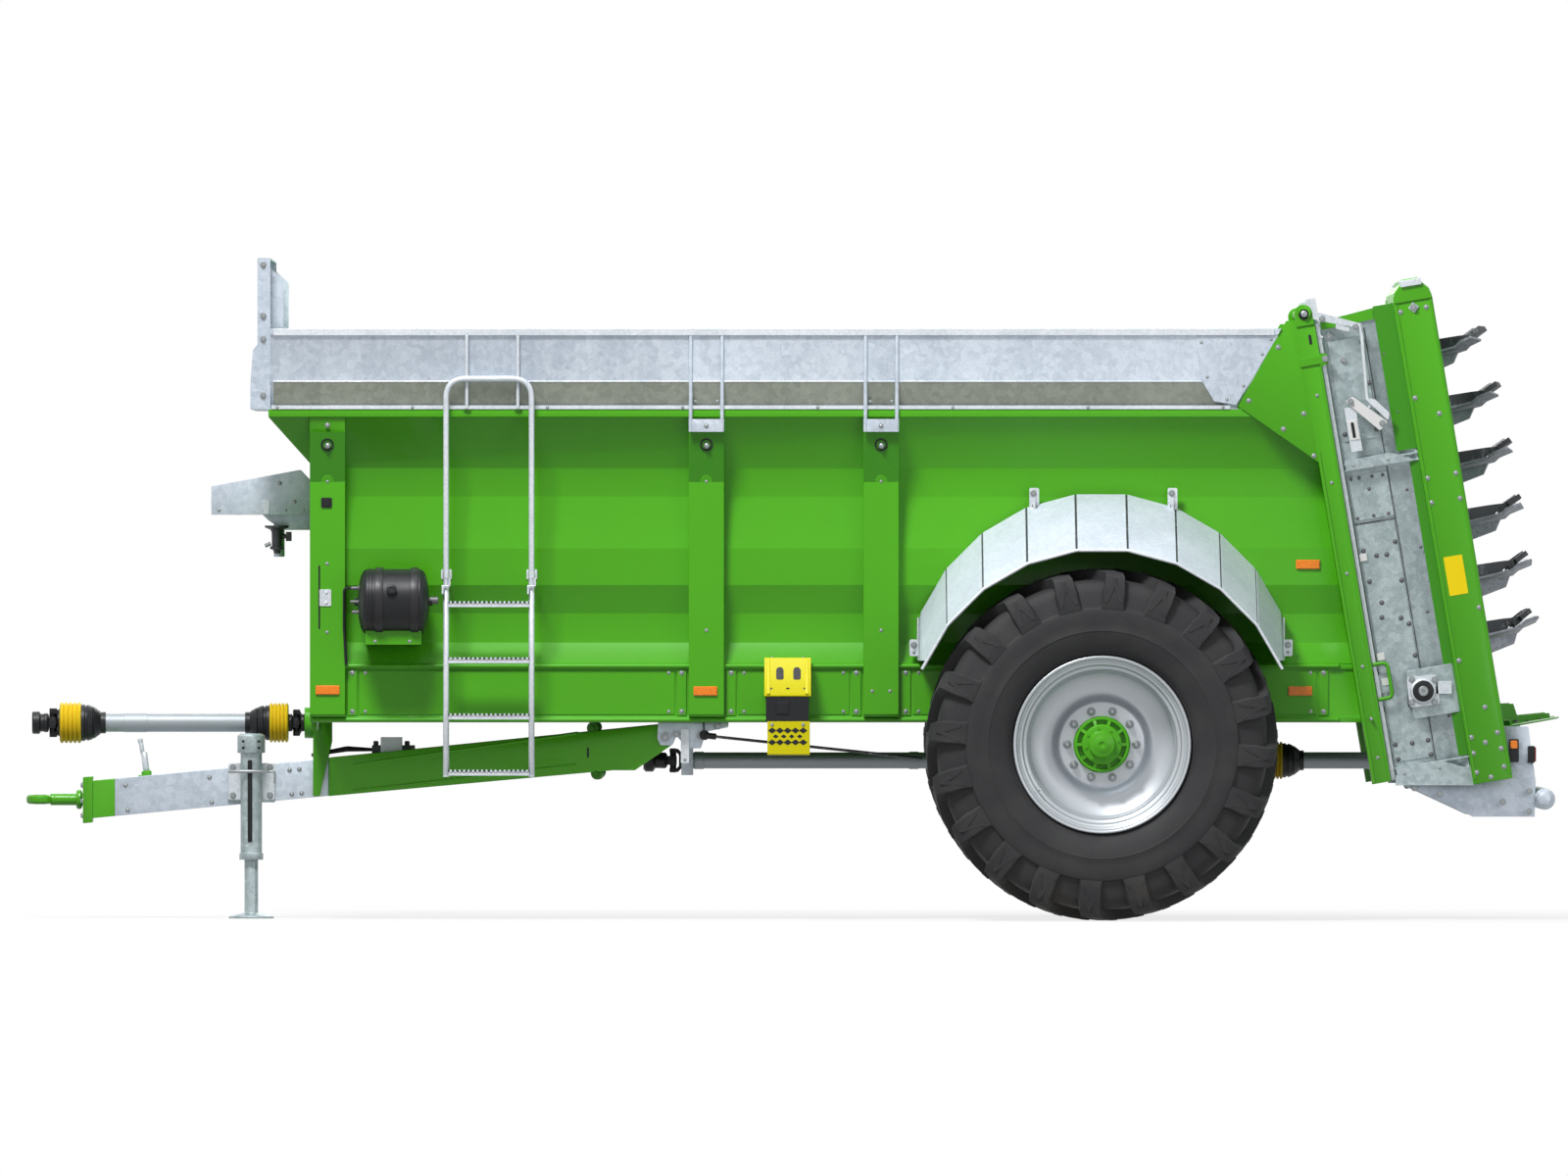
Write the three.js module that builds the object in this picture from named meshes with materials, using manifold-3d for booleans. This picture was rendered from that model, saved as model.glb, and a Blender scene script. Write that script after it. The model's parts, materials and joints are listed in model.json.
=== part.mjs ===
// A single-axle manure spreader with a ribbed tub, a sliding rear gate and two upright beaters.
// Millimetres. X runs along the machine with the hitch towards -X, Z is up, the ground is Z = 0.
import * as THREE from 'three';
import { mergeVertices } from 'three/addons/utils/BufferGeometryUtils.js';
import Module from 'manifold-3d';

const wasm = await Module();
wasm.setup();

// ---- Clearances -------------------------------------------------------------------------------
const fitGap = 0.3; // between fixed pieces that touch
const slideGap = 6; // between pieces that move past each other

// ---- Running gear -----------------------------------------------------------------------------
const tyreRadius = 895;
const tyreWidth = 645;
const casing = 30; // thickness of the tyre's wall; its tread is twice that
const rimRadius = 450; // over the flange
const rimWidth = 550;
const beadRadius = 412;
const hubRadius = 142;
const axleX = 1575;
const axleSize = 120;
const axleLift = 20; // the beam's centre above the stub axles
const stubRadius = 55;
const tyreToBody = 32; // from the tyre's inner wall to the chassis rail

// ---- Body -------------------------------------------------------------------------------------
const bodyLength = 5528; // front wall to the gate line, measured at the ground
const bodyHalf = 790; // over the chassis rails
const wall = 8; // tub and housing sheet
const railOverAxle = 110; // underside of the chassis rail above the wheel centre
const railHeight = 295;
const floorDrop = 55; // floor surface below the top of the chassis rail
const tubHeight = 1300; // chassis rail to the tub's rim
const rimTube = 40; // the tube along the tub's rim
const flare = 115; // how far the rim stands out beyond the chassis rail
const frontFlare = 210; // how far the front wall flares forward at its rim
const postWidth = 180;
const postDepth = 40; // side post beyond the chassis rail
const boardHeight = 410;
const headboardHeight = 770;

// ---- Rear posts, gate and beater housing, in a frame that leans forward --------------------------
const gateLineX = 3073; // where the front of the rear posts meets the ground line
const leanDegrees = 9.5;
const rearPostDepth = 95;
const rearPostInner = 745;
const rearPostOuter = 915;
const rearPostTop = 3088;
const rearPostFoot = 700;
const gateThickness = 11;
const gateHeight = 1165;
const gateRib = 36;
const beaterRadius = 408;
const beaterTube = 75;
const beaterSpacing = 860;
const beaterSetback = 597; // beater axis behind the gate line
const discHeight = 871; // spreading disc along the leaning axis
const beaterTop = 2990;
const channelWidth = 202;
const channelInner = 846;
const channelOuter = 960;
const channelFoot = 615;
const channelTop = 3105;

// ---- Scraper floor ----------------------------------------------------------------------------
const sprocketRadius = 80;
const chainThickness = 30;
const chainWidth = 40;
const chainY = 395; // each chain from the centre line
const slatHeight = 25;
const slatHalf = 590;
const slatPitch = 550;

// ---- Drawbar, jack and drive line -------------------------------------------------------------
const drawbarHalf = 100;
const drawbarDepth = 192;
const drawbarSlope = 5.4;
const drawbarLength = 1095; // the clad front box
const forkLength = 1760;
const forkHalf = 690; // outer faces of the fork at its pivots
const forkArm = 95;
const pivotZ = 932;
const eyeRadius = 68;
const eyeBore = 27;
const eyeThickness = 46;
const jackTube = 110;
const jackWall = 9;
const jackLegRadius = 35;
const jackFootRadius = 115;
const shaftRadius = 35;
const frontShaftZ = 1000;
const midShaftZ = 807;

// ---- Steps, tank and small pieces -------------------------------------------------------------
const ladderTube = 15;
const ladderWidth = 435;
const ladderY = 945;
const rungPitch = 286;
const tankRadius = 130;
const tankLength = 345;

// ---- Worked out from the above ----------------------------------------------------------------
const lean = THREE.MathUtils.degToRad(leanDegrees);
const wheelZ = tyreRadius;
const tyreInnerY = bodyHalf + tyreToBody;
const wheelY = tyreInnerY + tyreWidth / 2;
const bodyFrontX = gateLineX - bodyLength;
const railZ = wheelZ + railOverAxle;
const railTopZ = railZ + railHeight;
const floorZ = railTopZ - floorDrop;
const rimZ = railTopZ + tubHeight;
const rimHalf = bodyHalf + flare;
const chainRadius = sprocketRadius + chainThickness / 2;
const chainZ = floorZ + fitGap + chainThickness / 2 - chainRadius; // height of both floor shafts
const farAway = 6000;

// ---- Making solids ----------------------------------------------------------------------------
const xyzOf = (mesh) => mesh.vertProperties;

function signedVolume(position, index) {
  let sum = 0;
  const corner = (i) => new THREE.Vector3().fromArray(position, index[i] * 3);
  for (let i = 0; i < index.length; i += 3) {
    sum += corner(i).dot(corner(i + 1).cross(corner(i + 2)));
  }
  return sum / 6;
}

function fromTriangles(position, index) {
  const faces = [];
  for (let i = 0; i < index.length; i += 3) {
    const [a, b, c] = [index[i], index[i + 1], index[i + 2]];
    if (a !== b && b !== c && c !== a) faces.push(a, b, c);
  }
  if (signedVolume(position, faces) < 0) faces.reverse();
  return new wasm.Manifold(new wasm.Mesh({
    numProp: 3,
    vertProperties: new Float32Array(position),
    triVerts: new Uint32Array(faces),
  }));
}

function solid(geometry) {
  const bare = geometry.clone();
  bare.deleteAttribute('normal');
  bare.deleteAttribute('uv');
  const merged = mergeVertices(bare, 1e-3);
  return fromTriangles(merged.attributes.position.array, merged.index.array);
}

const join = (...parts) => parts.flat().reduce((sum, part) => sum.add(part));
const cut = (body, ...tools) => tools.flat().reduce((rest, tool) => rest.subtract(tool), body);

// The same solid on the other side of the centre plane Y = 0.
function mirrored(body) {
  const mesh = body.getMesh();
  const position = Array.from(xyzOf(mesh), (value, i) => (i % 3 === 1 ? -value : value));
  return fromTriangles(position, Array.from(mesh.triVerts));
}

function extruded(outline, depth) {
  const shape = new THREE.Shape(outline.map(([u, v]) => new THREE.Vector2(u, v)));
  return new THREE.ExtrudeGeometry(shape, { depth, bevelEnabled: false, steps: 1 });
}

// Outlines pushed along one axis: [X, Z] along Y, [Y, Z] along X and [X, Y] along Z.
const alongY = (outline, y0, y1) =>
  solid(extruded(outline, y1 - y0).rotateX(Math.PI / 2).translate(0, y1, 0));
const alongX = (outline, x0, x1) => {
  const turn = new THREE.Matrix4().makeBasis(
    new THREE.Vector3(0, 1, 0), new THREE.Vector3(0, 0, 1), new THREE.Vector3(1, 0, 0));
  return solid(extruded(outline, x1 - x0).applyMatrix4(turn).translate(x0, 0, 0));
};
const alongZ = (outline, z0, z1) => solid(extruded(outline, z1 - z0).translate(0, 0, z0));

function block([x0, x1], [y0, y1], [z0, z1]) {
  const box = new THREE.BoxGeometry(x1 - x0, y1 - y0, z1 - z0);
  return solid(box.translate((x0 + x1) / 2, (y0 + y1) / 2, (z0 + z1) / 2));
}

// A turned piece. Its profile lists [radius, distance along the axis].
function turned(profile, axis, at, sides = 16, closed = false) {
  const points = profile.map(([r, t]) => new THREE.Vector2(r, t));
  if (closed) points.push(points[0].clone());
  const lathe = new THREE.LatheGeometry(points, sides);
  if (axis === 'x') lathe.rotateZ(-Math.PI / 2);
  if (axis === 'z') lathe.rotateX(Math.PI / 2);
  return solid(lathe.translate(...at));
}

const disc = (axis, at, radius, from, to, sides = 16) =>
  turned([[0, from], [radius, from], [radius, to], [0, to]], axis, at, sides);

// A round bar through the given points, with each inner corner bent to the given radius.
function bar(points, radius, bend = 0, sides = 8) {
  const at = points.map((p) => new THREE.Vector3(...p));
  const path = new THREE.CurvePath();
  let start = at[0];
  for (let i = 1; i < at.length; i += 1) {
    const last = i === at.length - 1;
    const back = at[i - 1].clone().sub(at[i]).normalize();
    const arcStart = last ? at[i] : at[i].clone().addScaledVector(back, bend);
    path.add(new THREE.LineCurve3(start, arcStart));
    if (last) break;
    const ahead = at[i + 1].clone().sub(at[i]).normalize();
    start = at[i].clone().addScaledVector(ahead, bend);
    path.add(new THREE.QuadraticBezierCurve3(arcStart, at[i], start));
  }
  const ring = Array.from({ length: sides }, (_, i) => {
    const turn = (i / sides) * 2 * Math.PI;
    return new THREE.Vector2(radius * Math.cos(turn), radius * Math.sin(turn));
  });
  const bends = at.length - 2;
  const steps = bends > 0 ? 6 * (bends + 1) : 1;
  const section = new THREE.Shape(ring);
  return solid(new THREE.ExtrudeGeometry(section, { steps, extrudePath: path, bevelEnabled: false }));
}

// Points moved sideways from an open path, to its left.
function offsetPath(path, distance) {
  const point = path.map(([u, v]) => new THREE.Vector2(u, v));
  const left = (a, b) => {
    const along = b.clone().sub(a).normalize();
    return new THREE.Vector2(-along.y, along.x);
  };
  return point.map((p, i) => {
    const before = i > 0 ? left(point[i - 1], p) : left(p, point[i + 1]);
    const after = i < point.length - 1 ? left(p, point[i + 1]) : before;
    const middle = before.clone().add(after).normalize();
    const reach = distance / middle.dot(before);
    return [p.x + middle.x * reach, p.y + middle.y * reach];
  });
}

// Outline of a folded sheet whose thickness lies to the left of the path.
const sheet = (path, thickness) => [...path, ...offsetPath(path, thickness).reverse()];

// A solid through matching loops of points, closed by a fan at each end.
function loft(loops) {
  const count = loops[0].length;
  const position = loops.flat(2);
  const index = [];
  for (let i = 0; i + 1 < loops.length; i += 1) {
    for (let j = 0; j < count; j += 1) {
      const [a, b] = [i * count + j, i * count + ((j + 1) % count)];
      index.push(a, b, b + count, a, b + count, a + count);
    }
  }
  const end = (loops.length - 1) * count;
  for (let j = 1; j + 1 < count; j += 1) {
    index.push(0, j + 1, j, end, end + j, end + j + 1);
  }
  return fromTriangles(position, index);
}

// The leaning frame: s runs back from the gate line, t runs up along the posts.
const leaned = (body) => {
  const mesh = body.getMesh();
  const turn = new THREE.Matrix4().makeRotationY(-lean).setPosition(gateLineX, 0, 0);
  const geometry = new THREE.BufferGeometry();
  geometry.setAttribute('position', new THREE.BufferAttribute(new Float32Array(xyzOf(mesh)), 3));
  geometry.applyMatrix4(turn);
  return fromTriangles(geometry.attributes.position.array, Array.from(mesh.triVerts));
};
const leanPoint = (s, t) => [
  gateLineX + s * Math.cos(lean) - t * Math.sin(lean),
  s * Math.sin(lean) + t * Math.cos(lean),
];
const leanX = (z, s) => gateLineX + (s - z * Math.sin(lean)) / Math.cos(lean);

// Everything in front of the gate line, less the given gap.
const aheadOfPosts = (gap) => alongY([
  [-farAway, 0], [leanX(0, -gap), 0], [leanX(farAway, -gap), farAway], [-farAway, farAway],
], -farAway, farAway);

// ---- Materials --------------------------------------------------------------------------------
const finish = (color, roughness, metalness) => () =>
  new THREE.MeshStandardMaterial({ color, roughness, metalness });
const greenPaint = finish(0x54ac2e, 0.35, 0.0);
const galvanised = finish(0xc8d0d8, 0.45, 0.8);
const silverPaint = finish(0xbec3c6, 0.35, 0.5);
const tyreRubber = finish(0x343436, 0.85, 0.0);
const blackPlastic = finish(0x232326, 0.6, 0.0);
const yellowPlastic = finish(0xf2e400, 0.5, 0.0);
const bareSteel = finish(0x8d9196, 0.4, 0.8);
const darkSteel = finish(0x4a4c50, 0.5, 0.6);

const spreader = new THREE.Group();

function place(name, body, material) {
  const mesh = body.getMesh();
  const geometry = new THREE.BufferGeometry();
  geometry.setAttribute('position', new THREE.BufferAttribute(new Float32Array(xyzOf(mesh)), 3));
  geometry.setIndex(Array.from(mesh.triVerts));
  const piece = new THREE.Mesh(geometry, material());
  piece.name = name;
  spreader.add(piece);
}

// Places a piece drawn on the right (+Y) side and its mirror image.
function placePair(name, body, material) {
  place(`${name}_right`, body, material);
  place(`${name}_left`, mirrored(body), material);
}

// ---- Wheels and axle --------------------------------------------------------------------------
const wheelAt = [axleX, wheelY, wheelZ];
const discOffset = 70; // wheel disc outside the tyre's centre plane
const discThickness = 14;
const hubBack = 70; // inner end of the hub inside the disc
const hubSeatRadius = 205;
const flangeSheet = 12; // rim flange
const wheelSides = 28;

// A hollow casing that opens on to the rim between its beads.
function tyre() {
  const half = tyreWidth / 2;
  const bore = rimWidth / 2 - flangeSheet - fitGap;
  const bead = beadRadius + fitGap;
  const outside = [
    [bead, bore], [rimRadius + 5, bore], [0.62 * tyreRadius, 0.96 * half],
    [0.76 * tyreRadius, half], [0.9 * tyreRadius, 0.93 * half], [0.97 * tyreRadius, 0.82 * half],
    [tyreRadius, 0.45 * half],
  ];
  const inside = [
    [bead, bore - 45], [0.62 * tyreRadius, 0.96 * half - casing], [0.76 * tyreRadius, half - casing],
    [tyreRadius - 2 * casing, 0.78 * half], [tyreRadius - 2 * casing, 0.4 * half],
  ];
  const right = [...inside.reverse(), ...outside];
  const left = right.map(([r, y]) => [r, -y]).reverse();
  return turned([...right, ...left], 'y', wheelAt, wheelSides, true);
}

function rim() {
  const half = rimWidth / 2;
  const well = beadRadius - 42;
  const plate = flangeSheet;
  const inside = discOffset;
  const outside = discOffset + discThickness;
  return turned([
    [rimRadius, -half], [rimRadius, -half + plate], [beadRadius, -half + plate],
    [beadRadius, -half + 90], [well, -half + 130], [well, half - 130], [beadRadius, half - 90],
    [beadRadius, half - plate], [rimRadius, half - plate], [rimRadius, half],
    [beadRadius - plate, half], [beadRadius - plate, half - 90], [well - plate, half - 130],
    [well - plate, outside], [hubSeatRadius + 40, outside], [hubSeatRadius + 10, outside + 24],
    [hubRadius + fitGap, outside + 24], [hubRadius + fitGap, inside + 24],
    [hubSeatRadius, inside + 24], [hubSeatRadius + 30, inside], [well - plate, inside],
    [well - plate, -half + 130], [beadRadius - plate, -half + 90], [beadRadius - plate, -half],
  ], 'y', wheelAt, wheelSides, true);
}

function hub() {
  const seat = discOffset + 24 - fitGap;
  const nose = discOffset + discThickness + 24;
  return turned([
    [0, -hubBack], [105, -hubBack], [105, seat - 45], [hubSeatRadius - 6, seat - 22],
    [hubSeatRadius - 6, seat], [hubRadius, seat], [hubRadius, nose + 22], [104, nose + 34],
    [100, nose + 62], [66, nose + 70], [62, nose + 96], [0, nose + 96],
  ], 'y', wheelAt, wheelSides);
}

function axleBeam() {
  const beamZ = wheelZ + axleLift;
  const half = axleSize / 2;
  const beam = block([axleX - half, axleX + half], [-bodyHalf, bodyHalf], [beamZ - half, beamZ + half]);
  const stubEnd = wheelY - hubBack - fitGap;
  const stubs = [[-stubEnd, 60 - bodyHalf], [bodyHalf - 60, stubEnd]].map((span) =>
    disc('y', [axleX, 0, wheelZ], stubRadius, ...span));
  const seats = [1, -1].map((side) => {
    const y = [side * 690, side * 775].sort((a, b) => a - b);
    return alongY([
      [axleX - 210, railZ - fitGap], [axleX - 90, beamZ + 10], [axleX + 90, beamZ + 10],
      [axleX + 210, railZ - fitGap],
    ], ...y);
  });
  // Brake cam shafts and their levers, which the brake cables pull.
  const brakes = [1, -1].map((side) => {
    const y = [side * 560, side * 576].sort((a, b) => a - b);
    return alongY([
      [axleX - half - 70, brakeEndZ - 25], [axleX - half - 25, brakeEndZ - 25],
      [axleX - half + 10, beamZ - 20], [axleX - half + 10, beamZ + 30], [axleX - half - 40, beamZ + 30],
    ], ...y);
  });
  return join(beam, stubs, seats, brakes);
}

// ---- Chassis ----------------------------------------------------------------------------------
const railFlange = 90;
const railSheet = 12;
const bead = 10;
const brakeEndZ = 736;

function chassisRail() {
  const shelf = floorZ - wall - fitGap;
  const profile = [
    [bodyHalf - railFlange, railZ], [bodyHalf + bead, railZ], [bodyHalf + bead, railZ + 30],
    [bodyHalf, railZ + 30], [bodyHalf, railTopZ - 25], [bodyHalf + bead - 2, railTopZ - 25],
    [bodyHalf + bead - 2, railTopZ], [bodyHalf - railSheet, railTopZ], [bodyHalf - railSheet, shelf],
    [bodyHalf - railFlange, shelf], [bodyHalf - railFlange, shelf - railSheet],
    [bodyHalf - railSheet, shelf - railSheet], [bodyHalf - railSheet, railZ + railSheet],
    [bodyHalf - railFlange, railZ + railSheet],
  ];
  return alongX(profile, bodyFrontX, gateLineX).intersect(aheadOfPosts(fitGap));
}

const crossMemberX = [bodyFrontX + 1930, axleX];
const crossMemberWidth = 90;

function crossMember(x) {
  const half = bodyHalf - railSheet - fitGap;
  const top = floorZ - wall - railSheet - 2 * fitGap;
  return block([x, x + crossMemberWidth], [-half, half], [chainZ - 50, top]);
}

// ---- Tub --------------------------------------------------------------------------------------
// Outer face of the tub side from its foot to its rim: [distance from the centre plane, height].
const tubProfile = [
  [bodyHalf - wall / 2, railTopZ + fitGap + wall / 2], [bodyHalf - 62, railTopZ + 112],
  [bodyHalf - 62, railTopZ + 260], [bodyHalf - 12, railTopZ + 405], [bodyHalf - 12, railTopZ + 592],
  [bodyHalf - 48, railTopZ + 855], [bodyHalf - 30, railTopZ + 1000],
  [rimHalf - 20, rimZ - rimTube + 2],
];
const frontFoldZ = railTopZ + 1025;

// Room for the tub's ends: the front edge leans forward above the fold, the rear follows the posts.
const tubEnds = () => alongY([
  [bodyFrontX, 0], [bodyFrontX, frontFoldZ], [bodyFrontX - frontFlare, rimZ - rimTube],
  [bodyFrontX - frontFlare, farAway], [farAway, farAway], [farAway, 0],
], -farAway, farAway).intersect(aheadOfPosts(fitGap));

function tubSide() {
  const rim = [
    [rimHalf - 60, rimZ - rimTube], [rimHalf, rimZ - rimTube], [rimHalf, rimZ], [rimHalf - 60, rimZ],
  ];
  const panel = alongX(sheet(tubProfile, wall), bodyFrontX - frontFlare, gateLineX);
  const tube = alongX(rim, bodyFrontX - frontFlare, gateLineX);
  return join(panel, tube).intersect(tubEnds());
}

// The space inside the tub sides, less the given gap.
const insideTub = (gap) => {
  const inner = offsetPath(tubProfile, wall + gap);
  const foot = bodyHalf - railSheet - gap;
  const [low, high] = inner.slice(-2);
  const underTube = rimZ - rimTube - gap;
  const share = (underTube - low[1]) / (high[1] - low[1]);
  const right = [
    [foot, floorZ - 200], [foot, inner[0][1]], ...inner.slice(0, -1),
    [low[0] + share * (high[0] - low[0]), underTube],
    [rimHalf - 60 - gap, underTube], [rimHalf - 60 - gap, rimZ + 1],
  ];
  const left = right.map(([y, z]) => [-y, z]).reverse();
  return alongX([...right, ...left], -farAway, farAway);
};

function tubFront() {
  const path = [
    [bodyFrontX, floorZ + fitGap], [bodyFrontX, frontFoldZ],
    [bodyFrontX - frontFlare + 20, rimZ - rimTube],
  ];
  const top = bodyFrontX - frontFlare;
  const panel = alongY(sheet(path.slice().reverse(), wall), -farAway, farAway);
  const tube = block([top, top + 60], [-farAway, farAway], [rimZ - rimTube, rimZ]);
  // A deflector over the front of the scraper floor.
  const deflector = alongY(sheet([
    [frontShaftX + 60, floorZ + 70], [bodyFrontX + wall / 2, floorZ + 230],
  ], -wall), -farAway, farAway);
  return join(panel, tube, deflector).intersect(insideTub(fitGap));
}

function tubFloor() {
  const half = rearPostInner - slideGap;
  const front = frontShaftX + sprocketRadius / 2;
  const back = leanX(floorZ, rearPostDepth + 60);
  return block([front, back], [-half, half], [floorZ - wall, floorZ]);
}

const railOuter = bodyHalf + bead;
const sidePosts = [
  ['front', bodyFrontX], ['middle', bodyFrontX + 1930], ['rear', bodyFrontX + 2820],
];

// A folded box upright, let in to the ribs of the tub side.
function sidePost(x) {
  const face = bodyHalf + postDepth;
  const outline = [
    [bodyHalf - 150, railZ + 30], [face, railZ + 30], [face, rimZ - 370],
    [face + 38, rimZ - 120], [rimHalf - 8, rimZ - rimTube - fitGap],
    [bodyHalf - 150, rimZ - rimTube - fitGap],
  ];
  const foot = railZ + 30 + fitGap;
  const rail = [
    [0, 0], [railOuter + fitGap, 0], [railOuter + fitGap, railTopZ + fitGap],
    ...offsetPath(tubProfile.slice(1), -fitGap), [0, rimZ - rimTube],
  ];
  const post = alongX(outline, x, x + postWidth);
  return cut(post, alongX(rail, x - 1, x + postWidth + 1),
    block([x - 1, x + postWidth + 1], [0, rimHalf], [0, foot]));
}

// ---- Boards above the tub ---------------------------------------------------------------------
const boardFoot = rimZ + fitGap;
const boardTopZ = boardFoot + boardHeight;
const boardFace = rimHalf + 1.5;
const hoopRadius = 10;
const headboardX = bodyFrontX - frontFlare - 50;
const flangeDepth = 60;
const gussetSheet = 8;
const gussetFront = [leanX(rimZ, -360), rimZ + 15];
const gussetTop = [leanX(rimZ + 450, -45), rimZ + 450];

function sideBoard() {
  const front = headboardX + flangeDepth + fitGap;
  const path = [
    [boardFace, boardFoot], [boardFace - 37, boardFoot], [boardFace - 33, boardFoot + 20],
    [boardFace, boardFoot + 140], [boardFace, boardTopZ - 25],
  ];
  const panel = alongX(sheet(path, -wall / 2), front, gateLineX);
  const rail = alongX([
    [boardFace - 12, boardTopZ - 30], [boardFace + 15, boardTopZ - 30], [boardFace + 15, boardTopZ],
    [boardFace - 12, boardTopZ],
  ], front, gateLineX);
  const away = [gussetFront[0] - 2, gussetTop[0] - 2];
  const trim = alongY([
    [-farAway, 0], [away[0], 0], [away[0], gussetFront[1]], [away[1], gussetTop[1]],
    [-farAway, gussetTop[1]],
  ], 0, farAway);
  return join(panel, rail).intersect(trim);
}

// Round-bar loops that tie the board's top rail to the side posts.
function boardHoop(x) {
  const y = rimHalf + hoopRadius + fitGap;
  const low = rimZ - rimTube - 75;
  const high = boardTopZ - 15;
  const bars = [x + hoopRadius, x + postWidth - hoopRadius].map((at) =>
    disc('z', [at, y, 0], hoopRadius, low, high, 8));
  const strap = block([x, x + postWidth], [y - 4, y + 4], [low, low + 65]);
  return [...bars, strap];
}

function boardWithHoops() {
  const hoops = sidePosts.slice(1).map(([, x]) => boardHoop(x));
  return join(sideBoard(), ...hoops);
}

function headboard() {
  const half = rimHalf;
  const top = boardFoot + headboardHeight;
  const x = headboardX;
  const panel = block([x - 6, x], [-half, half], [boardFoot, top]);
  const stiffener = alongY([
    [x - 5, boardFoot], [x - 5, boardFoot + 330], [x - 30, boardFoot + 300], [x - 42, boardFoot + 120],
    [x - 42, boardFoot],
  ], -half, half);
  const flanges = [[-half, -half + 8], [half - 8, half]].map((y) =>
    block([x - 1, x + flangeDepth], y, [boardFoot, top]));
  const ledge = block([x - 1, x + flangeDepth], [-half, half], [boardFoot, boardFoot + 8]);
  // A hood folded back over the load, narrower than the board.
  const hood = [[-half + 90, -half + 98], [half - 98, half - 90]].map((y) => alongY([
    [x - 1, boardTopZ - 30], [x + 125, boardTopZ - 30], [x + 125, top - 110], [x + 60, top - 50],
    [x - 1, top - 30],
  ], ...y));
  const lip = block([x - 1, x + flangeDepth], [-half, half], [top - 8, top]);
  return join(panel, stiffener, flanges, ledge, hood, lip);
}

// ---- Mudguards --------------------------------------------------------------------------------
const guardSheet = 6;
const guardClearance = 95; // above the tyre at the outer edge
const guardDrop = 285; // outer edge below the inner edge
const guardPlates = 11;
const guardPlateTurn = 15; // degrees from one plate to the next
const guardEnd = 425; // foot of the guard above the wheel's centre

// Flat plates round the tyre. Each one slopes down from the body to its outer edge.
function mudguard() {
  const inner = bodyHalf - 12 + fitGap;
  const outer = tyreInnerY + tyreWidth - 60;
  const radius = tyreRadius + guardClearance;
  const path = [];
  for (let i = 1; i < guardPlates; i += 1) {
    const angle = THREE.MathUtils.degToRad(guardPlateTurn * (i - guardPlates / 2));
    path.push([radius * Math.sin(angle), radius * Math.cos(angle)]);
  }
  const foot = guardEnd - guardDrop - 20;
  path.unshift([path[0][0] - 15, foot]);
  path.push([path[path.length - 1][0] + 15, foot]);
  const above = offsetPath(path, guardSheet);
  const loops = path.map(([x, z], i) => {
    const [x2, z2] = above[i];
    return [
      [axleX + x, inner, wheelZ + z + guardDrop], [axleX + x, outer, wheelZ + z],
      [axleX + x2, outer, wheelZ + z2], [axleX + x2, inner, wheelZ + z2 + guardDrop],
    ];
  });
  const under = block([axleX - farAway, axleX + farAway], [0, farAway], [0, wheelZ + guardEnd]);
  return cut(loft(loops), under);
}

// ---- Rear posts and gate ----------------------------------------------------------------------
const guideGap = 0.3;
const guideSheet = 8;
const guideDepth = 29;
const gateFront = rearPostDepth + slideGap;
const gateBack = gateFront + gateThickness;
const guideInner = rearPostInner + 67;
const gateFoot = 1315;

function rearPost() {
  const outline = [
    [0, rearPostInner], [rearPostDepth, rearPostInner], [rearPostDepth, rearPostOuter],
    [0, rearPostOuter],
  ];
  const post = leaned(alongZ(outline, rearPostFoot, rearPostTop));
  const gusset = alongY([
    gussetFront, [leanX(rimZ - 275, 5), rimZ - 275], [leanX(rimZ + 450, 20), rimZ + 450], gussetTop,
  ], rimHalf + fitGap, rimHalf + fitGap + gussetSheet);
  return join(post, gusset);
}

function gateGuide() {
  const front = rearPostDepth + guideGap;
  const back = front + guideDepth;
  const lip = gateBack + slideGap;
  const outline = [
    [front, guideInner], [lip, guideInner], [lip, guideInner - 42], [back, guideInner - 42],
    [back, guideInner + guideSheet], [front, guideInner + guideSheet],
  ];
  return leaned(alongZ(outline, gateFoot - 40, rearPostTop));
}

function rearGate() {
  const half = guideInner - 7;
  const top = gateFoot + gateHeight;
  const panel = block([gateFront, gateBack], [-half, half], [gateFoot, top]);
  const ribHalf = guideInner - 42 - slideGap - 8;
  const ribs = [0, 0.33, 0.66, 1].map((share) => {
    const z = gateFoot + share * (gateHeight - 60);
    return block([gateBack - 1, gateBack + gateRib], [-ribHalf, ribHalf], [z, z + 60]);
  });
  const shoes = [[-1, 0], [1, 0], [-1, 1], [1, 1]].map(([side, end]) => {
    const y = [side * (half - 5), side * (guideInner - guideGap)].sort((a, b) => a - b);
    const z = end ? top - 160 : gateFoot;
    return block([gateFront, gateBack], y, [z, z + 160]);
  });
  return leaned(join(panel, ribs, shoes));
}

// Cross tube between the heads of the rear posts.
function gateBeam() {
  const at = leanPoint(rearPostDepth / 2 + 8, rearPostTop + 40);
  const tube = disc('y', [at[0], 0, at[1]], 32, -rearPostOuter - 20, rearPostOuter + 20, 12);
  const ears = [1, -1].map((side) => {
    const y = [side * (rearPostOuter - 30), side * (rearPostOuter - 10)].sort((a, b) => a - b);
    return leaned(alongY([
      [8, rearPostTop + fitGap], [rearPostDepth - 5, rearPostTop + fitGap],
      [rearPostDepth - 5, rearPostTop + 75], [25, rearPostTop + 75], [8, rearPostTop + 40],
    ], ...y));
  });
  return join(tube, ears);
}

// ---- Beater housing ---------------------------------------------------------------------------
const housingInner = channelInner + 6; // straight front half of the housing wall
const housingFold = 430;
const channelFront = beaterSetback + 10 - channelWidth / 2;
const channelBack = channelFront + channelWidth;
const beaterY = beaterSpacing / 2;
const shelfDepth = 62;
const floorShaftX = gateLineX + 142;
const floorShaftRadius = 30;

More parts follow.
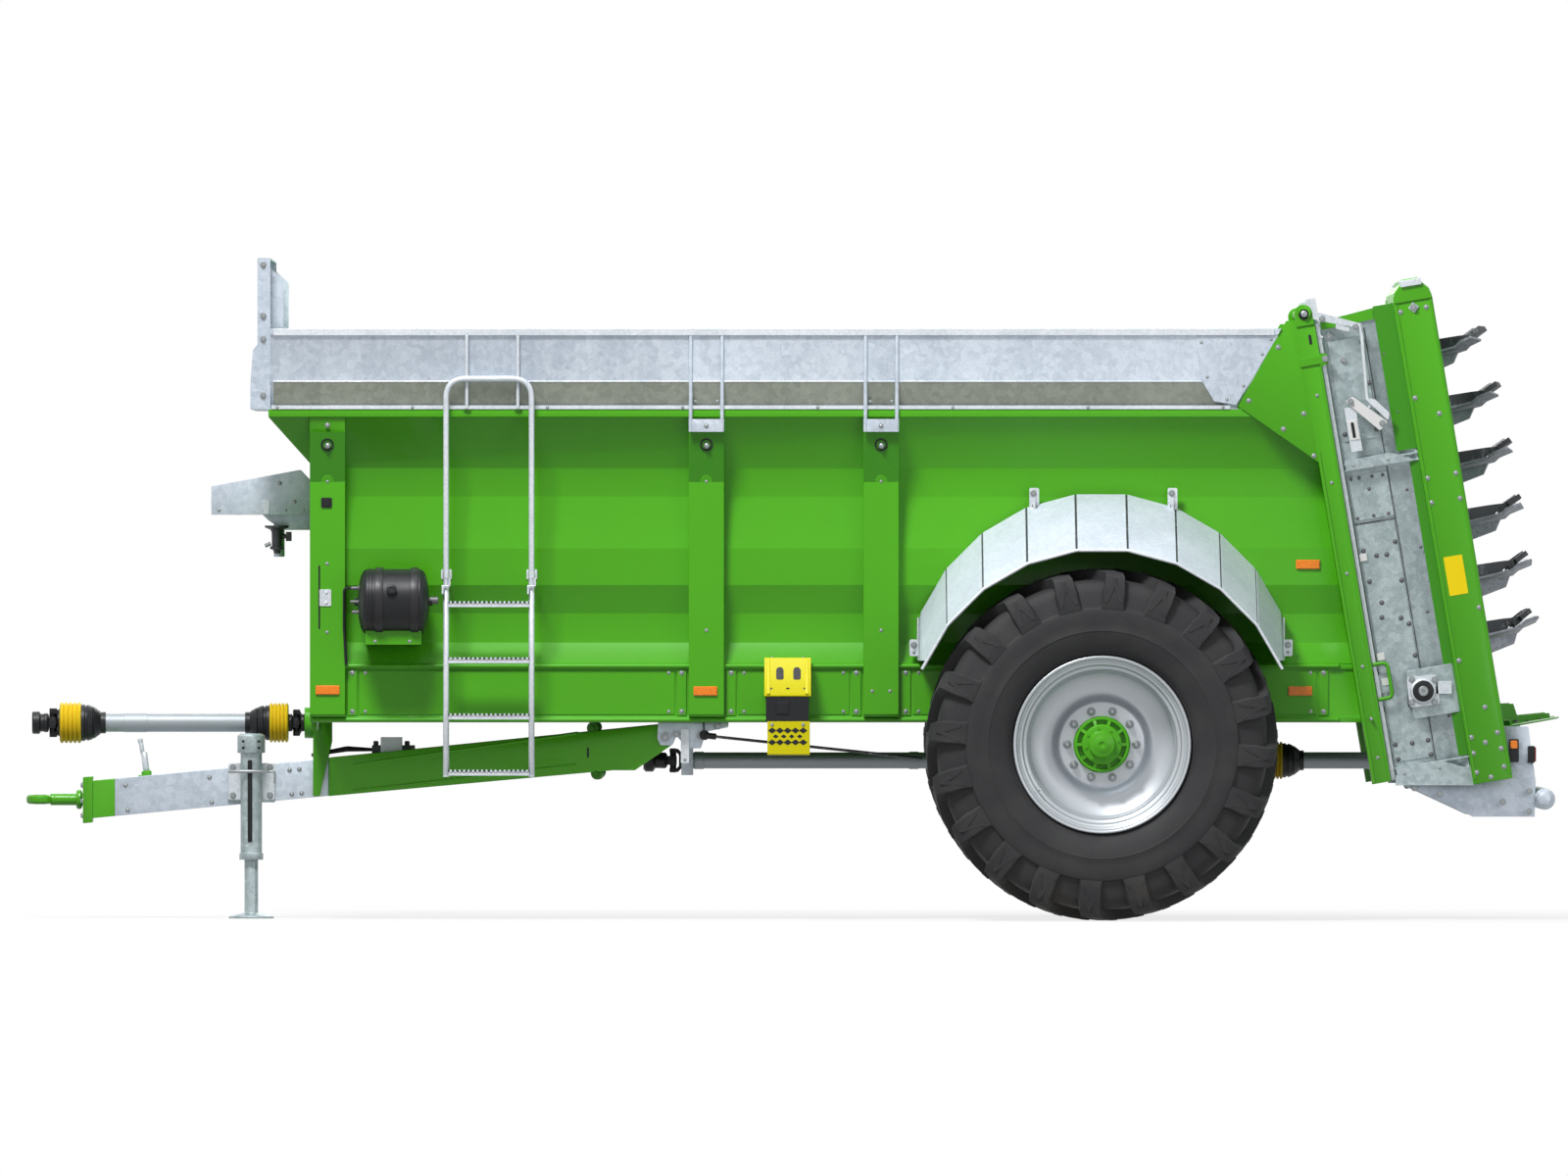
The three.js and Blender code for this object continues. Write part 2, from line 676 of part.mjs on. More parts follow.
function housingWall() {
  const front = rearPostDepth + guideGap + guideDepth + guideGap;
  const back = channelFront - fitGap;
  const path = [[front, housingInner], [housingFold, housingInner], [back, housingInner + 46]];
  const wallSheet = alongZ(sheet(path, wall), rearPostFoot, rearPostTop - 20);
  const shelf = (t, reach) => alongZ([
    [front, housingInner + 2], [back, housingInner + 48], [back, housingInner + reach],
    [front, housingInner + reach],
  ], t, t + 10);
  const shelves = [rearPostFoot, rearPostFoot + 55, 2290, 2325].map((t) => shelf(t, shelfDepth));
  const link = alongY([
    [front, rearPostTop - 60], [back, channelTop - 60], [back, channelTop - 8], [back - 60, channelTop - 8],
    [front, rearPostTop - 20],
  ], housingInner + 2, housingInner + 14);
  const shaftHole = disc('y', [floorShaftX, 0, chainZ], floorShaftRadius + 1, 0, farAway);
  return cut(leaned(join(wallSheet, shelves, link)), shaftHole);
}

function channel() {
  const side = 14;
  const outline = [
    [channelFront, channelInner], [channelBack, channelInner], [channelBack, channelInner + side],
    [channelFront + side, channelInner + side], [channelFront + side, channelOuter - side],
    [channelBack, channelOuter - side], [channelBack, channelOuter], [channelFront, channelOuter],
  ];
  return leaned(alongZ(outline, channelFoot, channelTop));
}

function beaterTopBeam() {
  const low = channelTop + fitGap;
  const beam = alongY([
    [channelFront + 8, low], [channelBack, low], [channelBack - 10, low + 42],
    [channelBack - 45, low + 80], [channelFront + 50, low + 80], [channelFront + 12, low + 42],
  ], -channelOuter, channelOuter);
  const cap = alongY([
    [channelFront + 60, low + 79], [channelBack - 55, low + 79], [channelBack - 55, low + 104],
    [channelFront + 60, low + 104],
  ], -channelOuter + 30, channelOuter - 30);
  const bearings = [beaterY, -beaterY].map((y) =>
    disc('z', [beaterSetback, y, 0], beaterTube - 10, beaterTop + fitGap, low + 2));
  return leaned(join(beam, cap, bearings));
}

// The gear housing across the foot of the channels, with a boss under each disc.
function gearBeam() {
  const half = channelInner - skidSheet - 2 * fitGap;
  const beam = alongY([
    [beaterSetback - 120, discHeight - 175], [beaterSetback + 95, discHeight - 175],
    [beaterSetback + 110, discHeight - 150], [beaterSetback + 110, discHeight - 60],
    [beaterSetback + 90, discHeight - 40], [beaterSetback - 100, discHeight - 40],
    [beaterSetback - 120, discHeight - 60],
  ], -half, half);
  const bosses = [beaterY, -beaterY].map((y) =>
    disc('z', [beaterSetback, y, 0], 90, discHeight - 45, discHeight - fitGap));
  const input = block([beaterSetback - 260, beaterSetback - 110], [-90, 90],
    [discHeight - 175, discHeight - 30]);
  return leaned(join(beam, bosses, input));
}

const discSheet = 10;
const paddleLevels = 6;
const paddlePitch = 293;
const lowestPaddle = 1385;
const paddleTwist = 12; // degrees from one level to the next
const bladeCount = 4;

// One upright beater: a tube with pairs of arms, over a spreading disc with throwing blades.
function beater(side) {
  const tube = disc('z', [0, 0, 0], beaterTube, discHeight + 2, beaterTop, 12);
  const plate = disc('z', [0, 0, 0], beaterRadius, discHeight, discHeight + discSheet, 24);
  const parts = [tube, plate];
  for (let level = 0; level < paddleLevels; level += 1) {
    const t = lowestPaddle + level * paddlePitch;
    const twist = (level - (paddleLevels - 1) / 2) * paddleTwist;
    for (const half of [0, 180]) {
      const arm = new THREE.BoxGeometry(beaterRadius - 12, 70, 36);
      arm.rotateX(side * 0.35).translate((beaterRadius - 12) / 2, 0, 0);
      const turn = THREE.MathUtils.degToRad(half + side * twist);
      parts.push(solid(arm.rotateZ(turn).translate(0, 0, t)));
    }
  }
  for (let i = 0; i < bladeCount; i += 1) {
    const blade = new THREE.BoxGeometry(beaterRadius - 130, 10, 80);
    blade.translate(120 + (beaterRadius - 130) / 2, 0, discHeight + discSheet + 39);
    parts.push(solid(blade.rotateZ(((i + 0.25) * 2 * Math.PI) / bladeCount)));
  }
  return leaned(join(parts).translate(beaterSetback, side * beaterY, 0));
}

// ---- Rear skirt -------------------------------------------------------------------------------
const skidSheet = 8;
const bumperRadius = 55;
const skidBackX = 3785;
const bumperZ = 615;

function skidPlate() {
  const y = channelInner - fitGap;
  return alongY([
    [3110, 692], [3470, 525], [skidBackX, 525], [skidBackX, 662], [3660, 760], [3480, 760],
    [3320, 692],
  ], y - skidSheet, y);
}

function bumper() {
  const x = skidBackX + bumperRadius - 6;
  const end = channelInner + 20;
  return turned([
    [0, -end - 34], [30, -end - 28], [bumperRadius, -end], [bumperRadius, end], [30, end + 28],
    [0, end + 34],
  ], 'y', [x, 0, bumperZ]);
}

function lightPlate() {
  const y = channelInner - fitGap;
  const frontAt = (z) => leanX(z, channelBack + fitGap);
  return alongY([
    [frontAt(985), 985], [frontAt(740), 740], [skidBackX - 125, 700], [skidBackX - 2, 600],
    [skidBackX + 5, 700], [skidBackX - 33, 985],
  ], y - skidSheet, y);
}

// The galvanised skirt behind the beaters: two cheek plates with their light plates, and the bumper.
function rearSkirt() {
  const cheek = join(skidPlate(), lightPlate());
  return join(cheek, mirrored(cheek), bumper());
}

// ---- Scraper floor ----------------------------------------------------------------------------
const frontShaftX = bodyFrontX + wall + slideGap + sprocketRadius + chainThickness + slatHeight;

// Outline of a loop of the given radius around both floor shafts.
function loopAround(radius) {
  const outline = [];
  for (let i = 0; i <= 8; i += 1) {
    const turn = -Math.PI / 2 + (Math.PI * i) / 8;
    outline.push([floorShaftX + radius * Math.cos(turn), chainZ + radius * Math.sin(turn)]);
  }
  for (let i = 0; i <= 8; i += 1) {
    const turn = Math.PI / 2 + (Math.PI * i) / 8;
    outline.push([frontShaftX + radius * Math.cos(turn), chainZ + radius * Math.sin(turn)]);
  }
  return outline;
}

function floorChain() {
  const inside = sprocketRadius;
  const outside = inside + chainThickness;
  const strands = [chainY, -chainY].map((y) => {
    const span = [y - chainWidth / 2, y + chainWidth / 2];
    return cut(alongY(loopAround(outside), ...span),
      alongY(loopAround(inside), span[0] - 1, span[1] + 1));
  });
  const slats = [];
  const run = floorShaftX - frontShaftX;
  const count = Math.floor(run / slatPitch);
  for (let i = 0; i <= count; i += 1) {
    const x = frontShaftX + (run * i) / count;
    for (const side of [1, -1]) {
      const low = chainZ + side * (outside - 8);
      const z = [low, low + side * (slatHeight + 8)].sort((a, b) => a - b);
      slats.push(block([x - 22, x + 22], [-slatHalf, slatHalf], z));
    }
  }
  return join(strands, slats);
}

function floorShaft(x, half, flange, bearingHalf) {
  const shaft = disc('y', [x, 0, chainZ], floorShaftRadius, -half, half);
  const wheels = [chainY, -chainY].map((y) =>
    disc('y', [x, 0, chainZ], sprocketRadius - fitGap, y - 16, y + 16));
  const bearings = [1, -1].map((side) => {
    const y = [side * flange, side * (flange + 24)].sort((a, b) => a - b);
    return block([x - bearingHalf, x + bearingHalf], y, [chainZ - bearingHalf, chainZ + bearingHalf]);
  });
  return join(shaft, wheels, bearings);
}

const floorShaftRear = () =>
  floorShaft(floorShaftX, housingInner + 60, housingInner + wall + fitGap, 78);

function floorShaftFront() {
  const half = bodyHalf - railSheet - fitGap;
  return floorShaft(frontShaftX, half, half - 24, 52);
}

// ---- Drawbar and hitch ------------------------------------------------------------------------
const drawbarBackX = bodyFrontX + 85;
const drawbarFrontX = drawbarBackX - drawbarLength;
const slope = Math.tan(THREE.MathUtils.degToRad(drawbarSlope));
const drawbarTopZ = 818; // where the clad box meets the fork
const headLength = 115;
const headFlange = 48;
const topAt = (x) => drawbarTopZ + (x - drawbarBackX) * slope;

function drawbarBox() {
  const outline = [drawbarFrontX, drawbarBackX].map((x) => [x, topAt(x)]);
  const under = outline.map(([x, z]) => [x, z - drawbarDepth]).reverse();
  return alongY([...outline, ...under], -drawbarHalf, drawbarHalf);
}

function drawbarHead() {
  const back = drawbarFrontX - fitGap;
  const front = back - headLength;
  const box = alongY([
    [front, topAt(front)], [back, topAt(back)], [back, topAt(back) - drawbarDepth],
    [front, topAt(front) - drawbarDepth],
  ], -drawbarHalf, drawbarHalf);
  const rim = 22;
  const plate = alongY([
    [front - headFlange, topAt(front) + rim - 4], [front + 1, topAt(front) + rim],
    [front + 1, topAt(front) - drawbarDepth - rim], [front - headFlange, topAt(front) - drawbarDepth - rim - 4],
  ], -drawbarHalf - rim, drawbarHalf + rim);
  return join(box, plate);
}

const shankEndX = drawbarFrontX - fitGap - headLength - headFlange - fitGap;
const shankLength = 165;
const eyeX = shankEndX - shankLength - eyeRadius + 10;
const eyeZ = topAt(shankEndX) - drawbarDepth / 2 + 4;

function hitchEye() {
  const ring = turned([
    [eyeBore, -eyeThickness / 2], [eyeRadius - 12, -eyeThickness / 2], [eyeRadius, -10],
    [eyeRadius, 10], [eyeRadius - 12, eyeThickness / 2], [eyeBore, eyeThickness / 2],
  ], 'z', [eyeX, 0, eyeZ], 20, true);
  const shank = turned([
    [0, eyeX + eyeBore + 10], [26, eyeX + eyeBore + 10], [32, shankEndX - 40], [48, shankEndX - 36],
    [48, shankEndX], [0, shankEndX],
  ], 'x', [0, 0, eyeZ]);
  return join(ring, shank);
}

// The fork that spreads from the clad box to a pivot under each chassis rail.
const forkBackX = drawbarBackX + forkLength;
const pivotX = forkBackX - 30;

function drawbarFork() {
  const front = drawbarBackX + fitGap;
  const side = alongY([
    [front, topAt(front) + 4], [forkBackX - 40, pivotZ + 62], [forkBackX, pivotZ + 40],
    [forkBackX + 12, pivotZ], [forkBackX, pivotZ - 42], [forkBackX - 190, pivotZ - 172],
    [forkBackX - 300, pivotZ - 172], [front, topAt(front) - drawbarDepth - 2],
  ], -farAway, farAway);
  const spreadX = front + 120;
  const tailX = forkBackX - 80;
  const inner = forkHalf - forkArm;
  const rate = (forkHalf - drawbarHalf - 10) / (tailX - spreadX);
  const crotchX = spreadX + Math.max(0, (forkArm - drawbarHalf - 10) / rate) + 60;
  const half = [
    [front, drawbarHalf + 10], [spreadX, drawbarHalf + 10], [tailX, forkHalf],
    [forkBackX + 20, forkHalf], [forkBackX + 20, inner], [tailX, inner], [crotchX, 0],
  ];
  const plan = [...half, ...half.slice(0, -1).map(([x, y]) => [x, -y]).reverse()];
  return side.intersect(alongZ(plan, 0, farAway));
}

// Bracket plates under each chassis rail, with the pivot pins of the fork.
function pivotBracket() {
  const top = railZ - fitGap;
  const y = forkHalf + 10;
  const plate = alongY([
    [pivotX - 42, top], [pivotX - 45, pivotZ - 10], [pivotX - 30, pivotZ - 44], [pivotX + 30, pivotZ - 44],
    [pivotX + 50, pivotZ + 5], [pivotX + 110, pivotZ - 60], [pivotX + 175, pivotZ - 60],
    [pivotX + 200, pivotZ + 25], [pivotX + 315, top - 25], [pivotX + 315, top],
  ], y, y + 12);
  const pin = disc('y', [pivotX, 0, pivotZ], 24, forkHalf + fitGap, y + 24);
  return join(plate, pin);
}

// The guide that hangs from the front of the chassis on both sides of the fork's neck.
function drawbarGuide() {
  const inner = drawbarHalf + 10 + fitGap;
  const cheek = [
    [bodyFrontX + 5, railZ + 88], [bodyFrontX + 100, railZ + 88], [bodyFrontX + 100, 905],
    [bodyFrontX + 40, 625], [bodyFrontX + 5, 625],
  ];
  const cheeks = [[inner, inner + 14], [-inner - 14, -inner]].map((y) => alongY(cheek, ...y));
  const bridge = block([bodyFrontX + 5, bodyFrontX + 35], [-bodyHalf + 90, bodyHalf - 90],
    [railZ - 40, railZ + 50]);
  const bearing = disc('x', [0, 0, frontShaftZ], 80, bodyFrontX - 40, bodyFrontX + 20, 20);
  return join(cheeks, bridge, bearing);
}

// ---- Jack -------------------------------------------------------------------------------------
const jackX = drawbarBackX - 395;
const jackY = -(drawbarHalf + 24 + jackTube / 2);
const jackTopZ = 945;
const jackBottomZ = 300;
const jackTravel = 250;
const jackPlate = 12;

function jackOuter() {
  const radius = jackTube / 2;
  const bore = radius - jackWall;
  const tube = turned([
    [jackLegRadius + fitGap, jackBottomZ], [radius + 6, jackBottomZ], [radius + 6, jackBottomZ + 34],
    [radius, jackBottomZ + 36], [radius, jackTopZ - 100], [radius + 16, jackTopZ - 98],
    [radius + 16, jackTopZ - 12], [radius, jackTopZ], [0, jackTopZ], [0, jackTopZ - 14],
    [bore, jackTopZ - 14], [bore, jackBottomZ + 40], [jackLegRadius + fitGap, jackBottomZ + 40],
  ], 'z', [jackX, jackY, 0], 16, true);
  const plateZ = topAt(jackX) - drawbarDepth / 2;
  const back = -(drawbarHalf + fitGap);
  const plate = block([jackX - 120, jackX + 120], [back - jackPlate, back], [plateZ - 92, plateZ + 92]);
  const saddle = block([jackX - 40, jackX + 40], [jackY, back - 1], [plateZ - 70, plateZ + 70]);
  const clearBore = disc('z', [jackX, jackY, 0], bore, jackBottomZ + 40, jackTopZ - 14);
  return cut(join(tube, plate, saddle), clearBore);
}

function jackLeg() {
  return turned([
    [0, 0], [jackFootRadius, 0], [jackFootRadius, 10], [jackLegRadius + 18, 26],
    [jackLegRadius, 30], [jackLegRadius, jackTopZ - 40 - jackTravel], [0, jackTopZ - 40 - jackTravel],
  ], 'z', [jackX, jackY, 0], 16);
}

// ---- Drive line -------------------------------------------------------------------------------
function frontShaft() {
  const back = bodyFrontX - 40 - fitGap;
  const front = back - 1395;
  return turned([
    [0, front], [44, front], [50, front + 20], [50, front + 40], [70, front + 60], [70, front + 85],
    [52, front + 135], [104, front + 150], [104, front + 250], [90, front + 256], [88, front + 310],
    [48, front + 362], [48, front + 382], [shaftRadius + 14, front + 384], [shaftRadius + 14, back - 310],
    [50, back - 308], [54, back - 270], [86, back - 220], [88, back - 180], [98, back - 176],
    [98, back - 78], [50, back - 72], [46, back - 60], [46, back], [0, back],
  ], 'x', [0, 0, frontShaftZ]);
}

const midShaftFrontX = forkBackX - 150;
const hangerX = forkBackX + 45;
const shaftCollar = 50;
const gearInputX = leanX(midShaftZ + shaftRadius + 7, beaterSetback - 260) - fitGap;

function midShaft() {
  const front = midShaftFrontX;
  const back = gearInputX;
  return turned([
    [0, front], [40, front], [40, front + 62], [shaftCollar, front + 70],
    [shaftCollar, hangerX + 62], [shaftRadius, hangerX + 74], [shaftRadius, axleX + 830], [70, axleX + 850], [98, axleX + 900],
    [98, axleX + 980], [70, axleX + 1040], [shaftRadius + 7, axleX + 1060],
    [shaftRadius + 7, back], [0, back],
  ], 'x', [0, 0, midShaftZ]);
}

// Both pivot brackets and the beam between them, which carries the lower drive shaft's bearing.
function pivotFrame() {
  const span = [hangerX, hangerX + 60];
  const half = forkHalf + 11;
  const beam = block(span, [-half, half], [railZ - 75, railZ - fitGap]);
  const drop = block(span, [-75, 75], [midShaftZ - 75, railZ - 70]);
  const bore = disc('x', [0, 0, midShaftZ], shaftCollar + fitGap, hangerX - 1, hangerX + 61);
  const bracket = pivotBracket();
  return cut(join(beam, drop, bracket, mirrored(bracket)), bore);
}

// ---- Ladder, on the left side -----------------------------------------------------------------
const ladderFrontX = bodyFrontX + 695;
const ladderTopZ = rimZ + 155;
const ladderHingeZ = railTopZ + 400;
const lowRungZ = ladderHingeZ - 107 - 3 * rungPitch;
const ladderBend = 100;
const hingeOut = 24; // hinge axis outside the rails
const hingePin = 5;
const hingePlay = 0.8; // between the pin and its bore
const hingeEar = [12.5, 22]; // span of a hinge ear beside its rail
const stepDepth = 36;
const ladderX = [ladderFrontX, ladderFrontX + ladderWidth];

function ladderUpper() {
  const y = -ladderY;
  const foot = ladderHingeZ + fitGap;
  const loop = bar([
    [ladderX[0], y, foot], [ladderX[0], y, ladderTopZ], [ladderX[1], y, ladderTopZ],
    [ladderX[1], y, foot],
  ], ladderTube, ladderBend);
  const stays = ladderX.flatMap((x) => [
    bar([[x, y + 4, rimZ - 20], [x, -rimHalf - fitGap, rimZ - 20]], 9),
    bar([[x, y + 4, foot + 60], [x, -(bodyHalf - 12) - fitGap, foot + 60]], 9),
  ]);
  const ears = ladderX.map((x) => block(
    [x + hingeEar[0], x + hingeEar[1]], [y - hingeOut - 8, y], [foot, foot + 40]));
  const pins = ladderX.map((x) => disc('x', [0, y - hingeOut, ladderHingeZ], hingePin,
    x - hingeEar[1], x + hingeEar[1] - 1, 8));
  return join(loop, stays, ears, pins);
}

function ladderLower() {
  const y = -ladderY;
  const rails = ladderX.map((x) =>
    disc('z', [x, y, 0], ladderTube, lowRungZ, ladderHingeZ, 8));
  const steps = [0, 1, 2, 3].map((i) => {
    const z = lowRungZ + i * rungPitch;
    return block(ladderX, [y - stepDepth / 2, y + stepDepth / 2], [z, z + 32]);
  });
  const ears = ladderX.map((x) => block(
    [x - hingeEar[1], x - hingeEar[0]], [y - hingeOut - 8, y], [ladderHingeZ - 40, ladderHingeZ]));
  const bore = disc('x', [0, y - hingeOut, ladderHingeZ], hingePin + hingePlay,
    ladderX[0] - 30, ladderX[1] + 30, 8);
  return cut(join(rails, steps, ears), bore);
}

// ---- Air tank ---------------------------------------------------------------------------------
const tankX = bodyFrontX + 255;
const tankZ = railTopZ + 360;
const tankY = -(bodyHalf + 12 + tankRadius);

function airTank() {
  const end = tankX + tankLength;
  return turned([
    [0, tankX - 30], [18, tankX - 30], [18, tankX - 16], [tankRadius * 0.62, tankX - 10],
    [tankRadius * 0.92, tankX + 12], [tankRadius, tankX + 36], [tankRadius, end - 36],
    [tankRadius * 0.92, end - 12], [tankRadius * 0.62, end + 10], [18, end + 16], [18, end + 44],
    [0, end + 44],
  ], 'x', [0, tankY, tankZ], 20);
}

function tankBracket() {
  const seat = tankZ - tankRadius - 22;
  const span = [tankX + 30, tankX + tankLength - 30];
  const back = -(bodyHalf - 62) - fitGap;
  const plate = block(span, [tankY - 60, back], [seat, seat + 8]);
  const upright = block(span, [back - 6, back], [seat - 60, seat + 1]);
  const saddles = [span[0] + 30, span[1] - 70].map((x) =>
    block([x, x + 40], [tankY - 58, tankY + 58], [seat + 4, tankZ - tankRadius * 0.5]));
  return join(plate, upright, saddles);
}

// ---- Hose tray over the drawbar ----------------------------------------------------------------
const trayHalf = 150;
const trayFloorZ = railTopZ + 765;

function hoseTray() {
  const back = bodyFrontX - fitGap;
  const front = back - 515;
  const cheek = [
    [front, trayFloorZ], [back, trayFloorZ], [back, trayFloorZ + 165], [back - 60, trayFloorZ + 230],
    [front, trayFloorZ + 145],
  ];
  const cheeks = [[-trayHalf, -trayHalf + 5], [trayHalf - 5, trayHalf]].map((y) => alongY(cheek, ...y));
  const base = block([front, back], [-trayHalf, trayHalf], [trayFloorZ, trayFloorZ + 5]);
  const nose = block([front, front + 5], [-trayHalf, trayHalf], [trayFloorZ, trayFloorZ + 140]);
  const stay = alongY([
    [back, trayFloorZ + 1], [back - 255, trayFloorZ + 1], [back - 225, trayFloorZ - 28],
    [back - 150, trayFloorZ - 78], [back, trayFloorZ - 78],
  ], -70, 70);
  const valve = disc('z', [back - 170, 0, 0], 28, trayFloorZ - 215, trayFloorZ - 20, 16);
  return join(cheeks, base, nose, stay, valve);
}

// ---- Small pieces on the left side --------------------------------------------------------------
const chockX = bodyFrontX + 2315;

// A wheel chock that hangs by its holder from the chassis rail, its foot turned down.
function wheelChock() {
  const y = -railOuter - fitGap;
  const side = [[y, railTopZ + 35], [y - 60, railTopZ + 35], [y - 165, railTopZ - 150],
    [y - 165, railZ - 30], [y - 40, railZ - 165], [y - 14, railZ - 165], [y - 14, railZ - 20],
    [y, railZ - 20]];
  const body = alongX(side, chockX, chockX + 238);
  const holes = [70, 138].map((x) =>
    block([chockX + x, chockX + x + 32], [y - 300, y - 12], [railTopZ - 95, railTopZ - 20]));
  return cut(body, ...holes);
}

// ---- The assembly -----------------------------------------------------------------------------
placePair('tyre', tyre(), tyreRubber);
placePair('rim', rim(), silverPaint);
placePair('hub', hub(), greenPaint);
place('axle_beam', axleBeam(), greenPaint);

placePair('chassis_rail', chassisRail(), greenPaint);
place('cross_member_middle', crossMember(crossMemberX[0]), greenPaint);
place('cross_member_axle', crossMember(crossMemberX[1]), greenPaint);
placePair('tub_side', tubSide(), greenPaint);
place('tub_front', tubFront(), greenPaint);
place('tub_floor', tubFloor(), greenPaint);
sidePosts.forEach(([name, x]) => placePair(`side_post_${name}`, sidePost(x), greenPaint));
placePair('side_board', boardWithHoops(), galvanised);
place('headboard', headboard(), galvanised);
placePair('mudguard', mudguard(), galvanised);

placePair('rear_post', rearPost(), greenPaint);
placePair('gate_guide', gateGuide(), galvanised);
place('rear_gate', rearGate(), greenPaint);
place('gate_beam', gateBeam(), greenPaint);
placePair('housing_wall', housingWall(), galvanised);
placePair('rear_channel', channel(), greenPaint);
place('beater_top_beam', beaterTopBeam(), greenPaint);
place('gear_beam', gearBeam(), greenPaint);
place('beater_right', beater(1), darkSteel);
place('beater_left', beater(-1), darkSteel);
place('rear_skirt', rearSkirt(), galvanised);

place('floor_chain', floorChain(), bareSteel);
place('floor_shaft_rear', floorShaftRear(), bareSteel);
place('floor_shaft_front', floorShaftFront(), bareSteel);

place('hitch_eye', hitchEye(), greenPaint);
place('drawbar_head', drawbarHead(), greenPaint);
place('drawbar_box', drawbarBox(), galvanised);
place('drawbar_fork', drawbarFork(), greenPaint);
place('drawbar_guide', drawbarGuide(), greenPaint);
place('pivot_frame', pivotFrame(), galvanised);
place('jack_tube', jackOuter(), galvanised);
place('jack_leg', jackLeg(), galvanised);
place('front_drive_shaft', frontShaft(), blackPlastic);
place('lower_drive_shaft', midShaft(), bareSteel);

place('ladder_rails', ladderUpper(), galvanised);
place('ladder_steps', ladderLower(), galvanised);
place('air_tank', join(airTank(), tankBracket()), blackPlastic);
place('hose_tray', hoseTray(), galvanised);
place('wheel_chock', wheelChock(), yellowPlastic);

// The origin lies under the middle of the machine's overall length.
const eyeTipX = eyeX - eyeRadius;
const discTipX = leanPoint(beaterSetback + beaterRadius, discHeight)[0];
spreader.position.x = -(eyeTipX + discTipX) / 2;

export default spreader;
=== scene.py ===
"""Looks of a towed manure spreader: finishes, small parts, lamps and camera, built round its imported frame."""

import json
import math
import random

import bmesh
import bpy
from mathutils import Matrix, Vector

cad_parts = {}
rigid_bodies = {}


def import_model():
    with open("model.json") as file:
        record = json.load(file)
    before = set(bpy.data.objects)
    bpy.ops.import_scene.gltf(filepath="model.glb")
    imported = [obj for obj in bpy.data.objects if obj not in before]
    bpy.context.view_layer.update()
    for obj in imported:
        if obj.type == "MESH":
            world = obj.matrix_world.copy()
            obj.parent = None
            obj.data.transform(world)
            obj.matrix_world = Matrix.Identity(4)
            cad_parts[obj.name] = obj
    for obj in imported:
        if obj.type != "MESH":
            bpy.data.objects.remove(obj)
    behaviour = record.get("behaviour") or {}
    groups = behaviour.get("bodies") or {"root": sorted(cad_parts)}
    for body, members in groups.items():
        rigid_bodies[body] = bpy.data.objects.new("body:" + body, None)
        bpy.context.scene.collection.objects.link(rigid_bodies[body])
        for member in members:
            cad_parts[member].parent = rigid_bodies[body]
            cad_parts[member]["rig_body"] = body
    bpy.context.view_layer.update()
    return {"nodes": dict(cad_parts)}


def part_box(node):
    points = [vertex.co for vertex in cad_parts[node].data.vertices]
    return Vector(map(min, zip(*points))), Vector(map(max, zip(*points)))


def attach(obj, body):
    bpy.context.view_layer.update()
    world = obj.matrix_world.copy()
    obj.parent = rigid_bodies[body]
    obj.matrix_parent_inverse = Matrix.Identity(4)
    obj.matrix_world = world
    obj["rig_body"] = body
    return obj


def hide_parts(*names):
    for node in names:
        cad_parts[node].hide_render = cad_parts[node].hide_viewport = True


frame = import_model()
chance = random.Random(15)

# The front of the machine is at -X, its left side at -Y. Everything below is in metres.
LEFT, RIGHT = -1, 1
SIDES = {"left": LEFT, "right": RIGHT}


# ---- Finishes -----------------------------------------------------------------------------------
def linear(red, green, blue):
    """A screen colour of 0 to 255 in each channel, as the linear colour that a shader takes."""
    def channel(value):
        value /= 255
        return value / 12.92 if value <= 0.04045 else ((value + 0.055) / 1.055) ** 2.4
    return (channel(red), channel(green), channel(blue), 1.0)


class Wire:
    """An output in a finish's node tree. Arithmetic on wires and numbers adds Math nodes."""

    def __init__(self, finish, socket):
        self.finish = finish
        self.socket = socket

    def _math(self, operation, first, second):
        return self.finish.add("Math", {"operation": operation}, {0: first, 1: second})

    def __add__(self, other):
        return self._math("ADD", self, other)

    def __sub__(self, other):
        return self._math("SUBTRACT", self, other)

    def __rsub__(self, other):
        return self._math("SUBTRACT", other, self)

    def __mul__(self, other):
        return self._math("MULTIPLY", self, other)

    __radd__ = __add__
    __rmul__ = __mul__

    def step(self, start, end):
        """0 up to start, 1 from end on, smooth between them."""
        return self.finish.add("MapRange", {"interpolation_type": "SMOOTHSTEP"},
                               {"Value": self, "From Min": start, "From Max": end})


